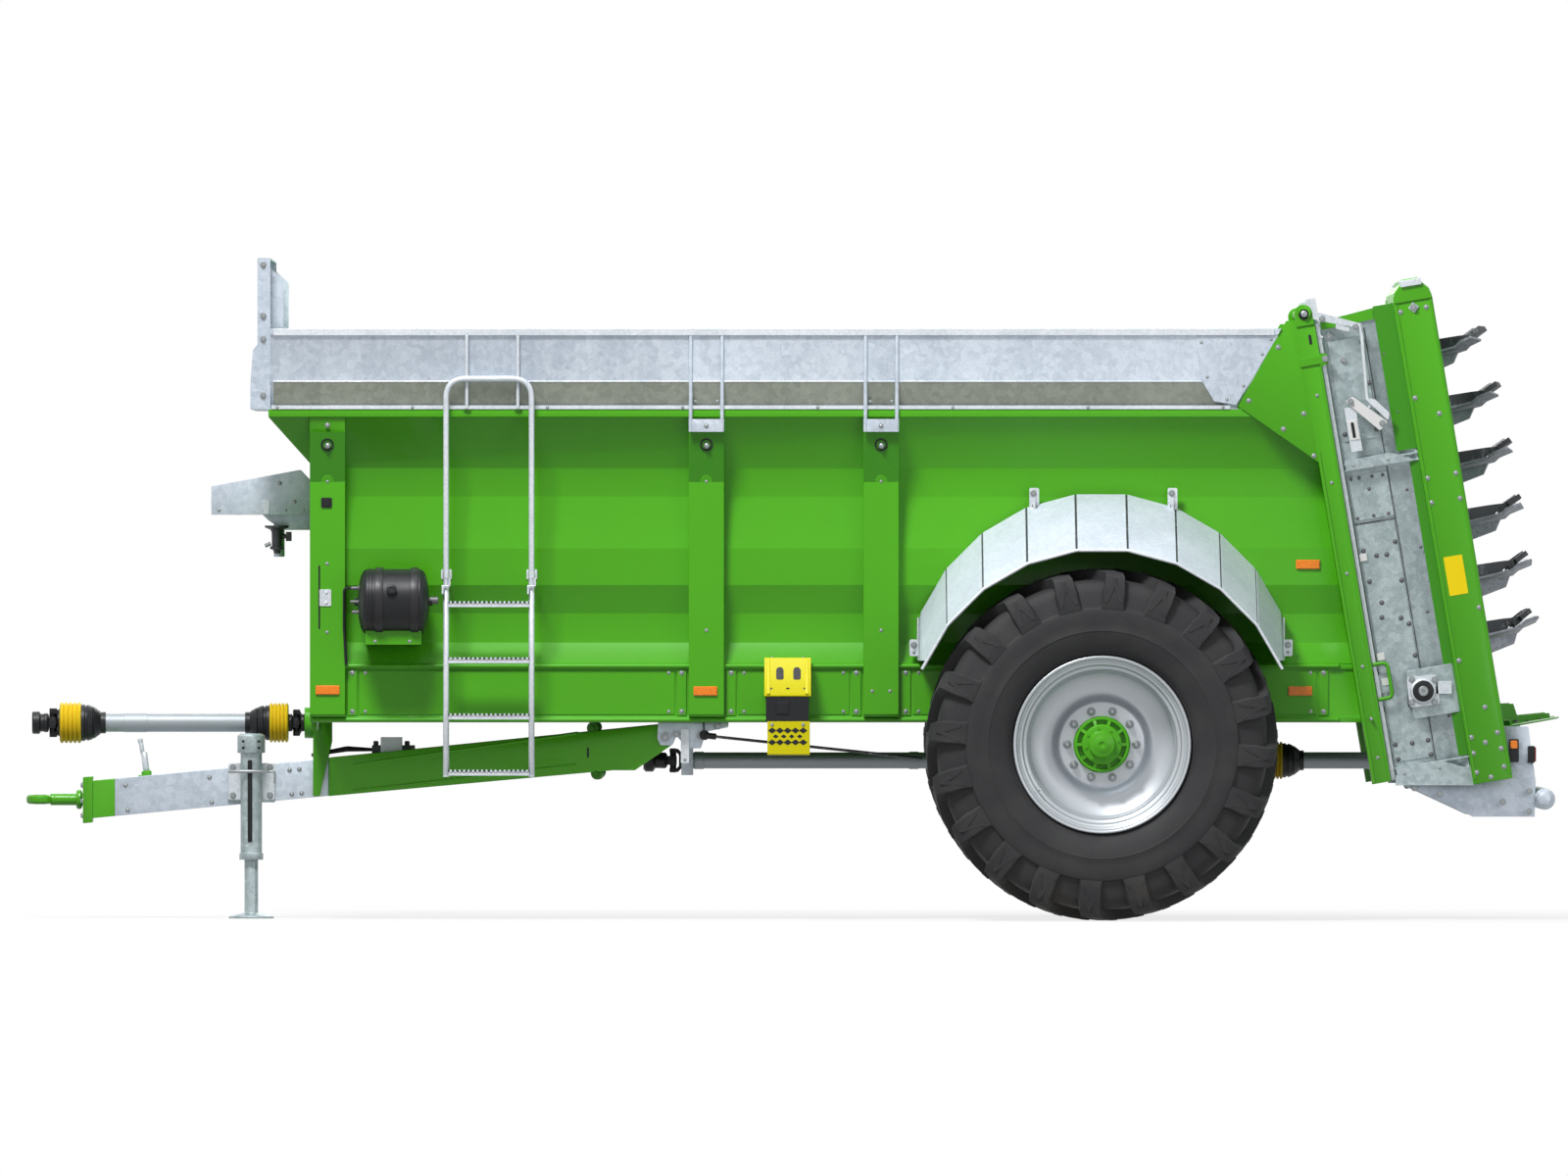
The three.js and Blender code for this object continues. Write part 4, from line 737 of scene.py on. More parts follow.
def rail_panels():
    """Bolted strips beside each post and the flat panels between them."""
    strip_width, gap = 0.048, 0.012
    strips, panels, heads = forms(3)
    bays = [(POSTS[0][1], POSTS[1][0]), (POSTS[1][1], POSTS[2][0]), (POSTS[2][1], 2.745)]
    for start, end in bays:
        for x in (start + gap, end - gap - strip_width):
            strips.add(block((x, RAIL_FACE, RAIL_LOW), (x + strip_width, RAIL_FACE + 0.007, RAIL_HIGH)))
            middle = x + strip_width / 2
            heads.bolted(COACH_BOLT, OUT, *[(middle, RAIL_FACE + 0.007, z) for z in BOLT_ROWS])
        first, last = start + 2 * gap + strip_width, end - 2 * gap - strip_width
        panels.add(block((first, RAIL_FACE, RAIL_LOW + 0.006), (last, PANEL_FACE, RAIL_HIGH - 0.004)))
        corners = [(x, PANEL_FACE, z) for x in (first + 0.03, last - 0.03) for z in BOLT_ROWS]
        heads.bolted(SMALL_BOLT, OUT, *corners)
    strips.pair("rail_strips", "green", bevel=0.0015)
    panels.pair("rail_panels", "green", bevel=0.0012)
    heads.pair("rail_bolts", "bolt_zinc")


def rail_beads():
    """The rolled lips along the top and the foot of the chassis rail."""
    low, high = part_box("chassis_rail_right")
    beads = Form()
    for z in (high.z - 0.008, low.z + 0.013):
        beads.add(rod((low.x + 0.01, 0.7985, z), (2.79, 0.7985, z), 0.0125, 14, 0.003))
    beads.pair("rail_beads", "green")


def post_plates():
    """The plate over each post's lower part, with a round tab for its top bolt."""
    plates, heads, plugs, sockets, shaded = forms(5)
    tab = 0.03
    for (start, end), lower_bolts in zip(POSTS, POST_BOLTS):
        middle = (start + end) / 2
        arc = [(middle + tab * math.cos(a), POST_FOLD + tab * 0.95 * math.sin(a))
               for a in spread(0, math.pi, 9)]
        outline = [(start + 0.001, 1.046), (end - 0.001, 1.046), (end - 0.001, POST_FOLD), *arc,
                   (start + 0.001, POST_FOLD)]
        plates.add(plate(outline, 0.0055), upright(POST_FACE - 0.001))
        heads.copies(SMALL_BOLT, OUT, (middle, PLATE_FACE, POST_FOLD + 0.004),
                     *[(middle + dx, PLATE_FACE, z) for dx, z in lower_bolts])
        # The upper part leans out: a black socket with a plated plug in it, and a bolt in the cap.
        lean_out = Vector((0, 0.972, -0.236)).normalized()
        socket = Vector((middle, 0.8755, SOCKET_Z))
        sockets.add(revolved([(0, 0.001), (0.024, 0.001), (0.026, 0.006), (0.033, 0.006), (0.0335, -0.004)],
                             24), along(socket, lean_out))
        plugs.add(revolved([(0.016, -0.002), (0.0165, 0.01), (0.013, 0.017), (0.006, 0.021), (0, 0.0215)],
                           20), along(socket + Vector((0.002, 0, -0.004)), lean_out))
        heads.add(COACH_BOLT, along((middle, 0.8915, 2.52), OUT))
        # A thin sheet in the shaded copy of the green lies over each post's leaning part: painted shade for
        # these down-facing faces.
        low_end, high_end = 2.232, 2.486
        leaning = [on_leaning_part(x, z) for x, z in ((start + 0.001, low_end), (start + 0.001, high_end),
                                                      (end - 0.001, high_end), (end - 0.001, low_end))]
        shaded.add(slab(leaning, 0.001))
        ear = [on_leaning_part(middle + 0.033 * math.cos(a), POST_FOLD + 0.036 * math.sin(a), 0.002)
               for a in spread(math.pi, 0, 13)]
        plates.add(slab(ear, 0.0025))
    plates.pair("post_plates", "green", bevel=0.0012)
    heads.pair("post_bolts", "bolt_zinc")
    shaded.pair("post_leaning_painted_shade", "painted_shade_green")
    sockets.pair("post_sockets", "black")
    plugs.pair("post_plugs", "bolt_zinc")


def front_post_fittings():
    """On the left front post: a square plug, the slot of a level gauge and its plated slider."""
    start = POSTS[0][0]
    face = -PLATE_FACE
    dark, slider = forms(2)
    plug = along((start + 0.085, face, 2.125), -OUT)
    dark.tile((0.056, 0.05, 0.008), 0.006, plug)
    dark.tile((0.03, 0.034, 0.004), 0.011, plug)
    # The black strip stands for the shade inside the gauge's slot: painted shade.
    dark.tile((0.009, 0.325, 0.0044), 0.0012, along((start + 0.048, face, 1.643), -OUT))
    slider.tile((0.06, 0.085, 0.006), 0.004, along((start + 0.079, face, 1.64), -OUT))
    for dz in (-0.026, 0.026):
        slider.add(SMALL_BOLT, along((start + 0.084, face - 0.004, 1.64 + dz), -OUT))
    dark.piece("front_post_slot", "black", bevel=0.0008)
    slider.piece("front_post_slider", "bright_zinc", bevel=0.0008)


def reflectors():
    """Amber side reflectors in thin frames."""
    spots = [(-2.365, PLATE_FACE, 1.17), (-0.44, PLATE_FACE, 1.165),
             (2.59, PANEL_FACE, 1.165), (2.63, 0.779, 1.81)]
    lenses, frames = forms(2)
    for x, y, z in spots:
        place = along((x, y, z), OUT)
        frames.tile((0.122, 0.047, 0.005), 0.005, place)
        lenses.tile((0.116, 0.041, 0.004), 0.01, place)
        for dx in (-0.049, 0.049):
            lenses.add(revolved([(0.0045, 0.009), (0.0045, 0.0115), (0, 0.0115)], 10),
                       place @ Matrix.Translation((dx, 0, 0)))
    frames.pair("reflector_frames", "amber", bevel=0.001)
    lenses.pair("reflector_lenses", "amber", bevel=0.0012)


def board_trim():
    """The pale flange along the boards' foot with its bolts, and the seams and bolts of their rear ends."""
    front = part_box("side_board_right")[0].x
    rim = 2.6
    flange, heads = forms(2)
    flange.add(block((front + 0.005, 0.9005, rim + 0.0005), (2.232, 0.9095, rim + 0.019)))
    flange.add(block((-2.64, 0.924, 2.9765), (2.455, 0.9262, 3.0095)))
    # A thin bright rod along the fold between board and band stands for the fold's highlight line: a painted
    # highlight.
    flange.add(rod((-2.64, 0.9125, 2.7415), (2.085, 0.9125, 2.7415), 0.0035, 8))
    heads.bolted(SMALL_BOLT, OUT, *[(x, 0.9095, rim + 0.01) for x in spread(-2.62, 2.195, 8)])
    # A lap plate closes the board where it meets the slanting gusset.
    seam = [(2.055, 2.975), (2.09, 2.742), (2.15, 2.64), (2.262, 2.622), (2.476, 2.975)]
    flange_plate = Form().add(plate(seam, 0.0035), upright(0.9108))
    lap_bolts = [(2.085, 2.94), (2.115, 2.765), (2.215, 2.65), (2.3, 2.72), (2.395, 2.88), (2.44, 2.955)]
    heads.copies(SMALL_BOLT, OUT, *[(x, 0.9143, z) for x, z in lap_bolts])
    for start, end in POSTS[1:]:
        heads.add(COACH_BOLT, along(((start + end) / 2, 0.9195, 2.515), OUT))
        heads.copies(SMALL_BOLT, OUT, (start + 0.035, 0.9095, 2.64), (end - 0.035, 0.9095, 2.64))
    # The folded lower part of the board, in a darker copy of the zinc: painted shade for this down-facing band.
    low_y, high_y, foot, fold = 0.8787, 0.9117, 2.6215, 2.7403
    band = [Vector((-2.64, high_y, fold)), Vector((2.085, high_y, fold)), Vector((2.205, low_y, foot)),
            Vector((-2.64, low_y, foot))]
    Form().add(slab(band, 0.0012)).pair("board_band", "painted_shade_band_zinc")
    flange.pair("board_flange", "bright_zinc", bevel=0.001)
    flange_plate.pair("board_lap_plate", "zinc", bevel=0.0008)
    heads.pair("board_bolts", "bolt_zinc")


def board_bars():
    """Two upright bars on the left board, behind the ladder's head."""
    bars = Form()
    for x in (-1.655, -1.395):
        bars.add(swept([(x, -0.9225, 2.995), (x, -0.9225, 2.75), (x, -0.9195, 2.605)], 0.0095, 12))
        bars.add(block((x - 0.018, -0.921, 2.601), (x + 0.018, -0.909, 2.612)))
    bars.piece("board_bars", "bright_zinc", crease=50)


def headboard_bolts():
    bolt_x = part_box("headboard")[0].x + 0.066
    heads = Form().copies(HEX_BOLT, OUT, *[(bolt_x, 0.905, z) for z in (3.335, 3.075, 2.957, 2.67)])
    heads.pair("headboard_bolts", "bolt_zinc")


rail_panels()
rail_beads()
post_plates()
front_post_fittings()
reflectors()
board_trim()
board_bars()
headboard_bolts()


# ---- Drive line -----------------------------------------------------------------------------------
FORWARD = Vector((1, 0, 0))
SHAFT_Z = 1.0
LOWER_SHAFT_Z = 0.807


def ribbed_guard(length, radius, ribs):
    """A bellows guard with round ribs, from Z = 0 up."""
    profile = [(0.03, 0.0)]
    pitch = length / ribs
    for i in range(ribs):
        base = i * pitch
        profile += [(radius - 0.013, base + 0.001), (radius - 0.003, base + pitch * 0.22),
                    (radius, base + pitch * 0.5), (radius - 0.003, base + pitch * 0.78),
                    (radius - 0.013, base + pitch * 0.999)]
    return revolved([(0, 0), *profile, (0.03, length), (0, length)], 40)


def guard_cone(length, wide, narrow):
    """The stiff cone between a bellows and the tube, with two grooves and a lip."""
    return revolved([(0, 0), (wide, 0), (wide, 0.16 * length), (wide - 0.006, 0.19 * length),
                     (wide - 0.006, 0.25 * length), (wide - 0.001, 0.28 * length),
                     (wide - 0.01, 0.48 * length), (wide - 0.016, 0.5 * length),
                     (wide - 0.012, 0.53 * length), (narrow + 0.012, 0.76 * length),
                     (narrow + 0.006, 0.8 * length), (narrow + 0.006, length), (0, length)], 36)


def universal_joint(length, radius):
    """Two forks and a cross between them, from Z = 0 up."""
    form = Form()
    middle = length / 2
    for outward, base in ((1, 0.0), (-1, length)):
        place = Matrix.Translation((0, 0, base)) @ Matrix.Scale(outward, 4, (0, 0, 1))
        place = place @ Matrix.Rotation(0 if outward > 0 else math.pi / 2, 4, "Z")
        form.add(revolved([(0, 0), (radius * 0.62, 0), (radius * 0.66, 0.004), (radius * 0.66, middle * 0.42),
                           (radius * 0.5, middle * 0.56), (0, middle * 0.56)], 24), place)
        for side in (-1, 1):
            ear = [(radius * 0.52 * side, middle * 0.25), (radius * 0.96 * side, middle * 0.62),
                   (radius * 0.96 * side, middle * 1.28), (radius * 0.66 * side, middle * 1.28),
                   (radius * 0.62 * side, middle * 0.7), (radius * 0.3 * side, middle * 0.45)]
            form.add(plate(ear, radius * 0.74, -radius * 0.37), place @ Matrix.Rotation(math.pi / 2, 4, "X"))
    for across in ((1, 0, 0), (0, 1, 0)):
        reach = Vector(across) * radius
        form.add(rod(Vector((0, 0, middle)) - reach, Vector((0, 0, middle)) + reach, radius * 0.27, 18,
                     0.003))
    return form


def splined_yoke(length, radius):
    """The free end of a shaft: a fork, a collar and a splined bore with its lock pin."""
    form = Form()
    form.add(ring_form([(0.02, 0), (radius * 0.72, 0), (radius * 0.78, 0.006),
                        (radius * 0.78, length * 0.24), (radius * 0.62, length * 0.28),
                        (radius * 0.62, length * 0.46), (0.02, length * 0.46)], 30))
    form.add(plate(circle(0.0205, 18), 0.004, length * 0.3))
    form.add(universal_joint(length * 0.62, radius), Matrix.Translation((0, 0, length * 0.38)))
    form.add(rod((-radius * 0.95, 0, length * 0.13), (radius * 0.95, 0, length * 0.13), 0.007, 14, 0.002))
    return form


def front_shaft():
    def at(x):
        return along((x, 0, SHAFT_Z), FORWARD)

    low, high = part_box("front_drive_shaft")
    tube, black, yellow = forms(3)
    tube.add(rod((-3.53, 0, SHAFT_Z), (-2.79, 0, SHAFT_Z), 0.047, 40))
    tube.add(rod((-3.42, 0, SHAFT_Z), (-3.3, 0, SHAFT_Z), 0.0484, 40, 0.0012))
    black.add(splined_yoke(-3.735 - low.x, 0.074), at(low.x))
    black.add(revolved([(0, 0), (0.062, 0), (0.07, 0.006), (0.07, 0.035), (0, 0.035)], 32), at(-3.762))
    yellow.add(ribbed_guard(0.112, 0.105, 5), at(-3.75))
    black.add(guard_cone(0.128, 0.094, 0.049), at(-3.642))
    turned = Matrix.Rotation(math.pi, 4, "X")
    black.add(guard_cone(0.128, 0.09, 0.049), at(-2.672) @ turned)
    yellow.add(ribbed_guard(0.098, 0.102, 5), at(-2.676))
    black.add(universal_joint(high.x + 2.578, 0.068), at(-2.578))
    tube.piece("front_shaft_tube", "steel", stands_for=["front_drive_shaft"])
    black.piece("front_shaft_joints", "black", bevel=0.0012)
    yellow.piece("front_shaft_bellows", "guard_yellow")


def lower_shaft():
    def at(x):
        return along((x, 0, LOWER_SHAFT_Z), FORWARD)

    low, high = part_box("lower_drive_shaft")
    tube, black, yellow = forms(3)
    tube.add(rod((-0.56, 0, LOWER_SHAFT_Z), (2.46, 0, LOWER_SHAFT_Z), 0.0415, 36))
    tube.add(rod((2.6, 0, LOWER_SHAFT_Z), (high.x - 0.01, 0, LOWER_SHAFT_Z), 0.0425, 36))
    for x in (-0.5, 0.6, 1.2, 2.95):
        tube.add(rod((x, 0, LOWER_SHAFT_Z), (x + 0.05, 0, LOWER_SHAFT_Z), 0.0448, 36, 0.002))
    black.add(revolved([(0, 0), (0.045, 0), (0.058, 0.012), (0.058, 0.05), (0.04, 0.062), (0.04, 0.1),
                        (0, 0.1)], 30), at(low.x))
    black.add(universal_joint(0.135, 0.062), at(low.x + 0.085))
    black.add(guard_cone(0.11, 0.088, 0.045), at(2.512))
    yellow.add(ribbed_guard(0.052, 0.0965, 3), at(2.462))
    black.add(revolved([(0, 0), (0.06, 0), (0.06, 0.05), (0, 0.05)], 30), at(2.43))
    tube.piece("lower_shaft_tube", "steel", stands_for=["lower_drive_shaft"])
    black.piece("lower_shaft_joints", "black", bevel=0.0012)
    yellow.piece("lower_shaft_bellows", "guard_yellow")


front_shaft()
lower_shaft()


# ---- Drawbar, hitch and jack ------------------------------------------------------------------------
SLOPE = math.radians(5.4)
LINE_X, LINE_Z = -3.48, 0.609  # a point on the drawbar's middle line


def on_drawbar(x, z, y=-0.1):
    """A place on the drawbar's left face: x along the machine, z above its middle line, square to it."""
    return Vector((x - z * math.sin(SLOPE), y, LINE_Z + (x - LINE_X) * math.tan(SLOPE) + z * math.cos(SLOPE)))


def hitch_fittings():
    low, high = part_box("hitch_eye")
    middle = (low + high) / 2
    ring_x = low.x + 0.068
    form = Form()
    # A forged ring with a worn bore liner, a tapering neck and a nut behind the flange.
    ring = [(0.03, -0.023), (0.058, -0.023), (0.0675, -0.013), (0.0685, 0.0), (0.0675, 0.013), (0.058, 0.023),
            (0.03, 0.023)]
    form.add(ring_form(ring, 44), Matrix.Translation((ring_x, 0, middle.z)))
    form.add(swept([(ring_x + 0.055, 0, middle.z), (ring_x + 0.12, 0, middle.z), (high.x - 0.03, 0, middle.z),
                    (high.x + 0.01, 0, middle.z)], 0.03, 24))
    form.add(revolved([(0, 0), (0.044, 0), (0.05, 0.008), (0.05, 0.022), (0.036, 0.03), (0, 0.03)], 30),
             along((high.x - 0.035, 0, middle.z), FORWARD))
    form.piece("hitch_eye_forging", "green", bevel=0.0015, stands_for=["hitch_eye"])
    liner = Form().add(ring_form(oblong(0.0268, -0.0245, 0.031, 0.0245), 36),
                       Matrix.Translation((ring_x, 0, middle.z)))
    liner.piece("hitch_eye_liner", "bolt_zinc")
    flange_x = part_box("drawbar_head")[0].x
    bolts = [(flange_x, y, z) for y in (-0.092, 0.092) for z in (0.525, 0.6, 0.68)]
    Form().copies(HEX_BOLT, -FORWARD, *bolts).piece("hitch_flange_bolts", "bolt_zinc")


def drawbar_cladding():
    """Bolt heads at the clad box's corners, and the parking lever on its seat."""
    heads, lever = forms(2)
    for columns, reach in (((-3.405, -2.975), 0.064), ((-2.565, -2.515), 0.062)):
        heads.copies(COACH_BOLT, -OUT, *[on_drawbar(x, z) for x in columns for z in (-reach, reach)])
    base = on_drawbar(-3.295, 0.094, -0.03)
    seat = Form().add(block(base + Vector((-0.042, -0.022, -0.012)), base + Vector((0.042, 0.022, 0.012))))
    seat.add(rod(base + Vector((0.001, 0, 0.01)), base + Vector((-0.002, 0, 0.034)), 0.026, 18, 0.003))
    lever.add(rod(base + Vector((-0.001, 0, 0.03)), base + Vector((-0.014, 0, 0.13)), 0.0165, 16, 0.003))
    lever.add(rod(base + Vector((-0.02, 0, 0.12)), base + Vector((-0.032, 0, 0.19)), 0.0115, 14, 0.003))
    lever.add(revolved([(0, 0), (0.012, 0.001), (0.014, 0.012), (0.012, 0.022), (0, 0.024)], 16),
              along(base + Vector((-0.031, 0, 0.176)), (-0.16, 0, 1)))
    heads.piece("drawbar_bolts", "bolt_zinc")
    seat.piece("parking_lever_seat", "green", bevel=0.001)
    lever.piece("parking_lever", "bright_zinc", crease=50)


def fork_details():
    """Beads along the edges of the fork's arms, their pins and a small slot."""
    pins, dark, beads = forms(3)
    spread_x, spread_y, tail_x, tail_y = -2.25, 0.11, -0.69, 0.69
    splay = (tail_y - spread_y) / (tail_x - spread_x)
    outwards = Vector((-splay, 1, 0)).normalized()

    def on_arm(x, z):
        return Vector((x, spread_y + (x - spread_x) * splay, z))
    for x, z in ((-1.02, 0.975), (-1.0, 0.745)):
        pins.add(revolved([(0, -0.02), (0.033, -0.02), (0.033, 0.008), (0.029, 0.013), (0, 0.013)], 26),
                 along(on_arm(x, z) - outwards * 0.02, outwards))
        pins.add(hexagon_bolt(0.026, 0.01), along(on_arm(x, z) - outwards * 0.007, outwards))
    # The black tile stands for the shade inside the slot: painted shade.
    dark.tile((0.01, 0.052, 0.0045), 0.0012, along(on_arm(-1.04, 0.85) + outwards * 0.0004, outwards))
    for drop in (0.018, 0.152):
        beads.add(swept([on_arm(-2.24, 0.804 - drop), on_arm(-1.1, 0.968 - drop * 1.18)], 0.006, 10))
    # The pins take the shaded copy of the green, as painted shade; the beads take the lit copy, as painted
    # light.
    pins.pair("fork_pins", "painted_shade_green", bevel=0.0008)
    dark.pair("fork_slots", "black")
    beads.pair("fork_beads", "painted_light_green")


def valve_block():
    """The hydraulic block that stands on the drawbar, with its pipes."""
    body, box, pipes = forms(3)
    base_z, centre = 0.84, -2.03
    body.add(block((centre - 0.12, -0.08, base_z), (centre + 0.1, 0.05, base_z + 0.045)))
    box.add(block((centre - 0.075, -0.082, base_z + 0.004), (centre + 0.035, 0.032, base_z + 0.086)))
    for dx in (-0.1, -0.02, 0.06):
        body.add(revolved([(0, 0), (0.014, 0), (0.014, 0.018), (0.01, 0.022), (0, 0.022)], 6),
                 along((centre + dx, -0.02, base_z + 0.045), (0, 0, 1)))
    for y, dip in ((-0.05, 0.0), (-0.015, 0.012), (0.025, 0.004)):
        pipes.add(swept(bent([(centre - 0.11, y, base_z + 0.022), (centre - 0.25, y, base_z + 0.02 + dip),
                              (-2.46, y * 0.8, base_z - 0.006)], 0.08), 0.0085, 10))
    box.piece("valve_box", "bright_zinc", bevel=0.002)
    body.piece("valve_block", "dark", bevel=0.002)
    pipes.piece("valve_pipes", "black", crease=60)


def pivot_fittings():
    """Bolts, the brake rod with its black end and the hanging strap at the drawbar's pivots."""
    heads, rods, ends, straps = forms(4)
    frame_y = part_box("pivot_frame")[1].y
    for side in (LEFT, RIGHT):
        face = side * (frame_y + 0.001)
        direction = OUT * side
        for x, z, head in ((-0.645, 0.93, BIG_BOLT), (-0.59, 0.945, HEX_BOLT), (-0.465, 0.935, HEX_BOLT),
                           (-0.375, 0.985, HEX_BOLT)):
            heads.add(head, along((x, face, z), direction))
        straps.tile((0.042, 0.175, 0.006), 0.006, along((-0.545, face, 0.885), direction))
        heads.add(SMALL_BOLT, along((-0.545, face + side * 0.006, 0.815), direction))
    y = -(frame_y + 0.018)
    rods.add(rod((-0.4, y, 0.9335), (0.665, y + 0.16, 0.82), 0.0075, 12))
    ends.add(rod((-0.445, y, 0.939), (-0.385, y, 0.932), 0.016, 16, 0.003))
    ends.add(revolved([(0, -0.004), (0.024, -0.004), (0.026, 0.004), (0.02, 0.012), (0, 0.012)], 20),
             along((-0.445, y + 0.004, 0.94), -OUT))
    coil = [(-0.452 + 0.01 * math.cos(a), y + 0.01 * math.sin(a), 1.125 - 0.105 * a / (10 * math.pi))
            for a in spread(0, 10 * math.pi, 121)]
    rods.add(swept(coil, 0.0028, 6))
    rods.add(rod((-0.452, y, 1.03), (-0.447, y, 0.955), 0.005, 10, 0.001))
    heads.piece("pivot_bolts", "bolt_zinc")
    rods.piece("brake_rod", "dark", crease=60)
    ends.piece("brake_rod_end", "black")
    straps.piece("pivot_straps", "bright_zinc", bevel=0.001)


def jack_fittings():
    heads, dark, collar, pin = forms(4)
    tube_low, tube_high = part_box("jack_tube")
    centre_x, collar_face, face = (tube_low.x + tube_high.x) / 2, tube_low.y, tube_low.y + 0.016
    # The flat mounting plate behind the tube, with four bolts into the drawbar.
    collar.tile((0.236, 0.188, 0.012), 0.006, along((centre_x, -0.108, 0.7), -OUT))
    corners = [(centre_x + dx, -0.114, 0.7 + dz) for dx in (-0.095, 0.095) for dz in (-0.072, 0.072)]
    heads.copies(HEX_BOLT, -OUT, *corners)
    # Black tiles stand for the shade inside the tube's slot and holes: painted shade.
    dark.tile((0.024, 0.42, 0.01), 0.0015, along((centre_x - 0.006, face - 0.0004, 0.6), -OUT))
    for dx in (-0.04, 0.04):
        for z in (0.905, 0.872):
            dark.add(plate(circle(0.0075, 16), 0.0012), along((centre_x + dx, collar_face - 0.0003, z), -OUT))
    pin_y, pin_z = face - 0.009, 0.752
    pin.add(rod((centre_x - 0.115, pin_y, pin_z), (centre_x + 0.095, pin_y, pin_z), 0.009, 14, 0.002))
    pin.add(swept(bent([(centre_x + 0.09, pin_y, pin_z), (centre_x + 0.122, pin_y, pin_z),
                        (centre_x + 0.122, pin_y, 0.69)], 0.02), 0.006, 10))
    heads.piece("jack_bolts", "bolt_zinc")
    dark.piece("jack_slot", "black")
    collar.piece("jack_plate", "bright_zinc", bevel=0.0012)
    pin.piece("jack_pin", "bolt_zinc", crease=60)


hitch_fittings()
drawbar_cladding()
fork_details()
valve_block()
pivot_fittings()
jack_fittings()


# ---- Mudguards --------------------------------------------------------------------------------------
def cut_above(outline, height):
    """The part of a flat outline that lies above a height."""
    kept = []
    for a, b in zip(outline, outline[1:] + outline[:1]):
        if a.z >= height:
            kept.append(a)
        if (a.z >= height) != (b.z >= height):
            kept.append(a.lerp(b, (height - a.z) / (b.z - a.z)))
    return kept


GUARD_FOOT = 1.32


def mudguards():
    """Flat plates with open seams over a dark backing, a rolled tube round the edge and bolted tabs."""
    centre_x, wheel_z, radius, drop = 1.575, 0.895, 0.99, 0.285
    inner, outer = 0.779, 1.406
    path = [(radius * math.sin(math.radians(15 * (i - 5.5))), radius * math.cos(math.radians(15 * (i - 5.5))))
            for i in range(1, 11)]
    path = [(path[0][0] - 0.015, 0.12), *path, (path[-1][0] + 0.015, 0.12)]
    plates, backing, edge, tabs, heads = forms(5)
    for (x0, z0), (x1, z1) in zip(path, path[1:]):
        run = math.hypot(x1 - x0, z1 - z0)
        for form, gap, lift, thickness in ((plates, 0.005, 0.003, 0.0035), (backing, 0.0, 0.0, 0.0028)):
            t0, t1 = gap / run, 1 - gap / run
            ax, az = x0 + (x1 - x0) * t0, z0 + (z1 - z0) * t0
            bx, bz = x0 + (x1 - x0) * t1, z0 + (z1 - z0) * t1
            across = [Vector((centre_x + x, y, wheel_z + z)) for x, y, z in (
                (bx, inner, bz + drop), (bx, outer, bz), (ax, outer, az), (ax, inner, az + drop))]
            normal = (across[1] - across[0]).cross(across[2] - across[1]).normalized()
            outline = cut_above([corner + normal * lift for corner in across], GUARD_FOOT)
            if len(outline) > 2:
                form.add(slab(outline, thickness))
    rim = [Vector((centre_x + x, outer - 0.004, wheel_z + z + 0.004)) for x, z in path[1:-1]]
    edge.add(swept(bent(rim, 0.05, 3), 0.0085, 10))
    for x in (path[0][0] - 0.003, path[-1][0] + 0.003):
        foot = [(centre_x + x, inner + 0.002, GUARD_FOOT + 0.004),
                (centre_x + x * 0.9985, inner + 0.004, 1.54)]
        edge.add(swept(foot, 0.006, 8))
    for x in (1.235, 1.94):
        tabs.tile((0.05, 0.13, 0.01), 0.006, along((x, 0.792, 2.135), OUT))
        tabs.add(block((x - 0.006, 0.792, 2.07), (x + 0.006, 0.83, 2.15)))
        heads.add(HEX_BOLT, along((x - 0.004, 0.798, 2.172), OUT))
        heads.add(COACH_BOLT, along((x, 0.798, 2.108), OUT))
    for x in (0.622, 2.528):
        tabs.tile((0.046, 0.085, 0.01), 0.006, along((x, 0.806, 1.385), OUT))
        heads.add(HEX_BOLT, along((x, 0.812, 1.4), OUT))
        heads.add(SMALL_BOLT, along((x, 0.812, 1.362), OUT))
    for side_name, side in SIDES.items():
        node = "mudguard_" + side_name
        looks = [("_plates", plates, "guard_zinc", {"bevel": 0.0009, "stands_for": [node]}),
                 ("_backing", backing, "dark", {}), ("_edge", edge, "bright_zinc", {"crease": 50}),
                 ("_tabs", tabs, "bright_zinc", {"bevel": 0.001}), ("_bolts", heads, "bolt_zinc", {})]
        for part, form, finish, shading in looks:
            (form if side == RIGHT else form.mirrored()).piece(node + part, finish, **shading)


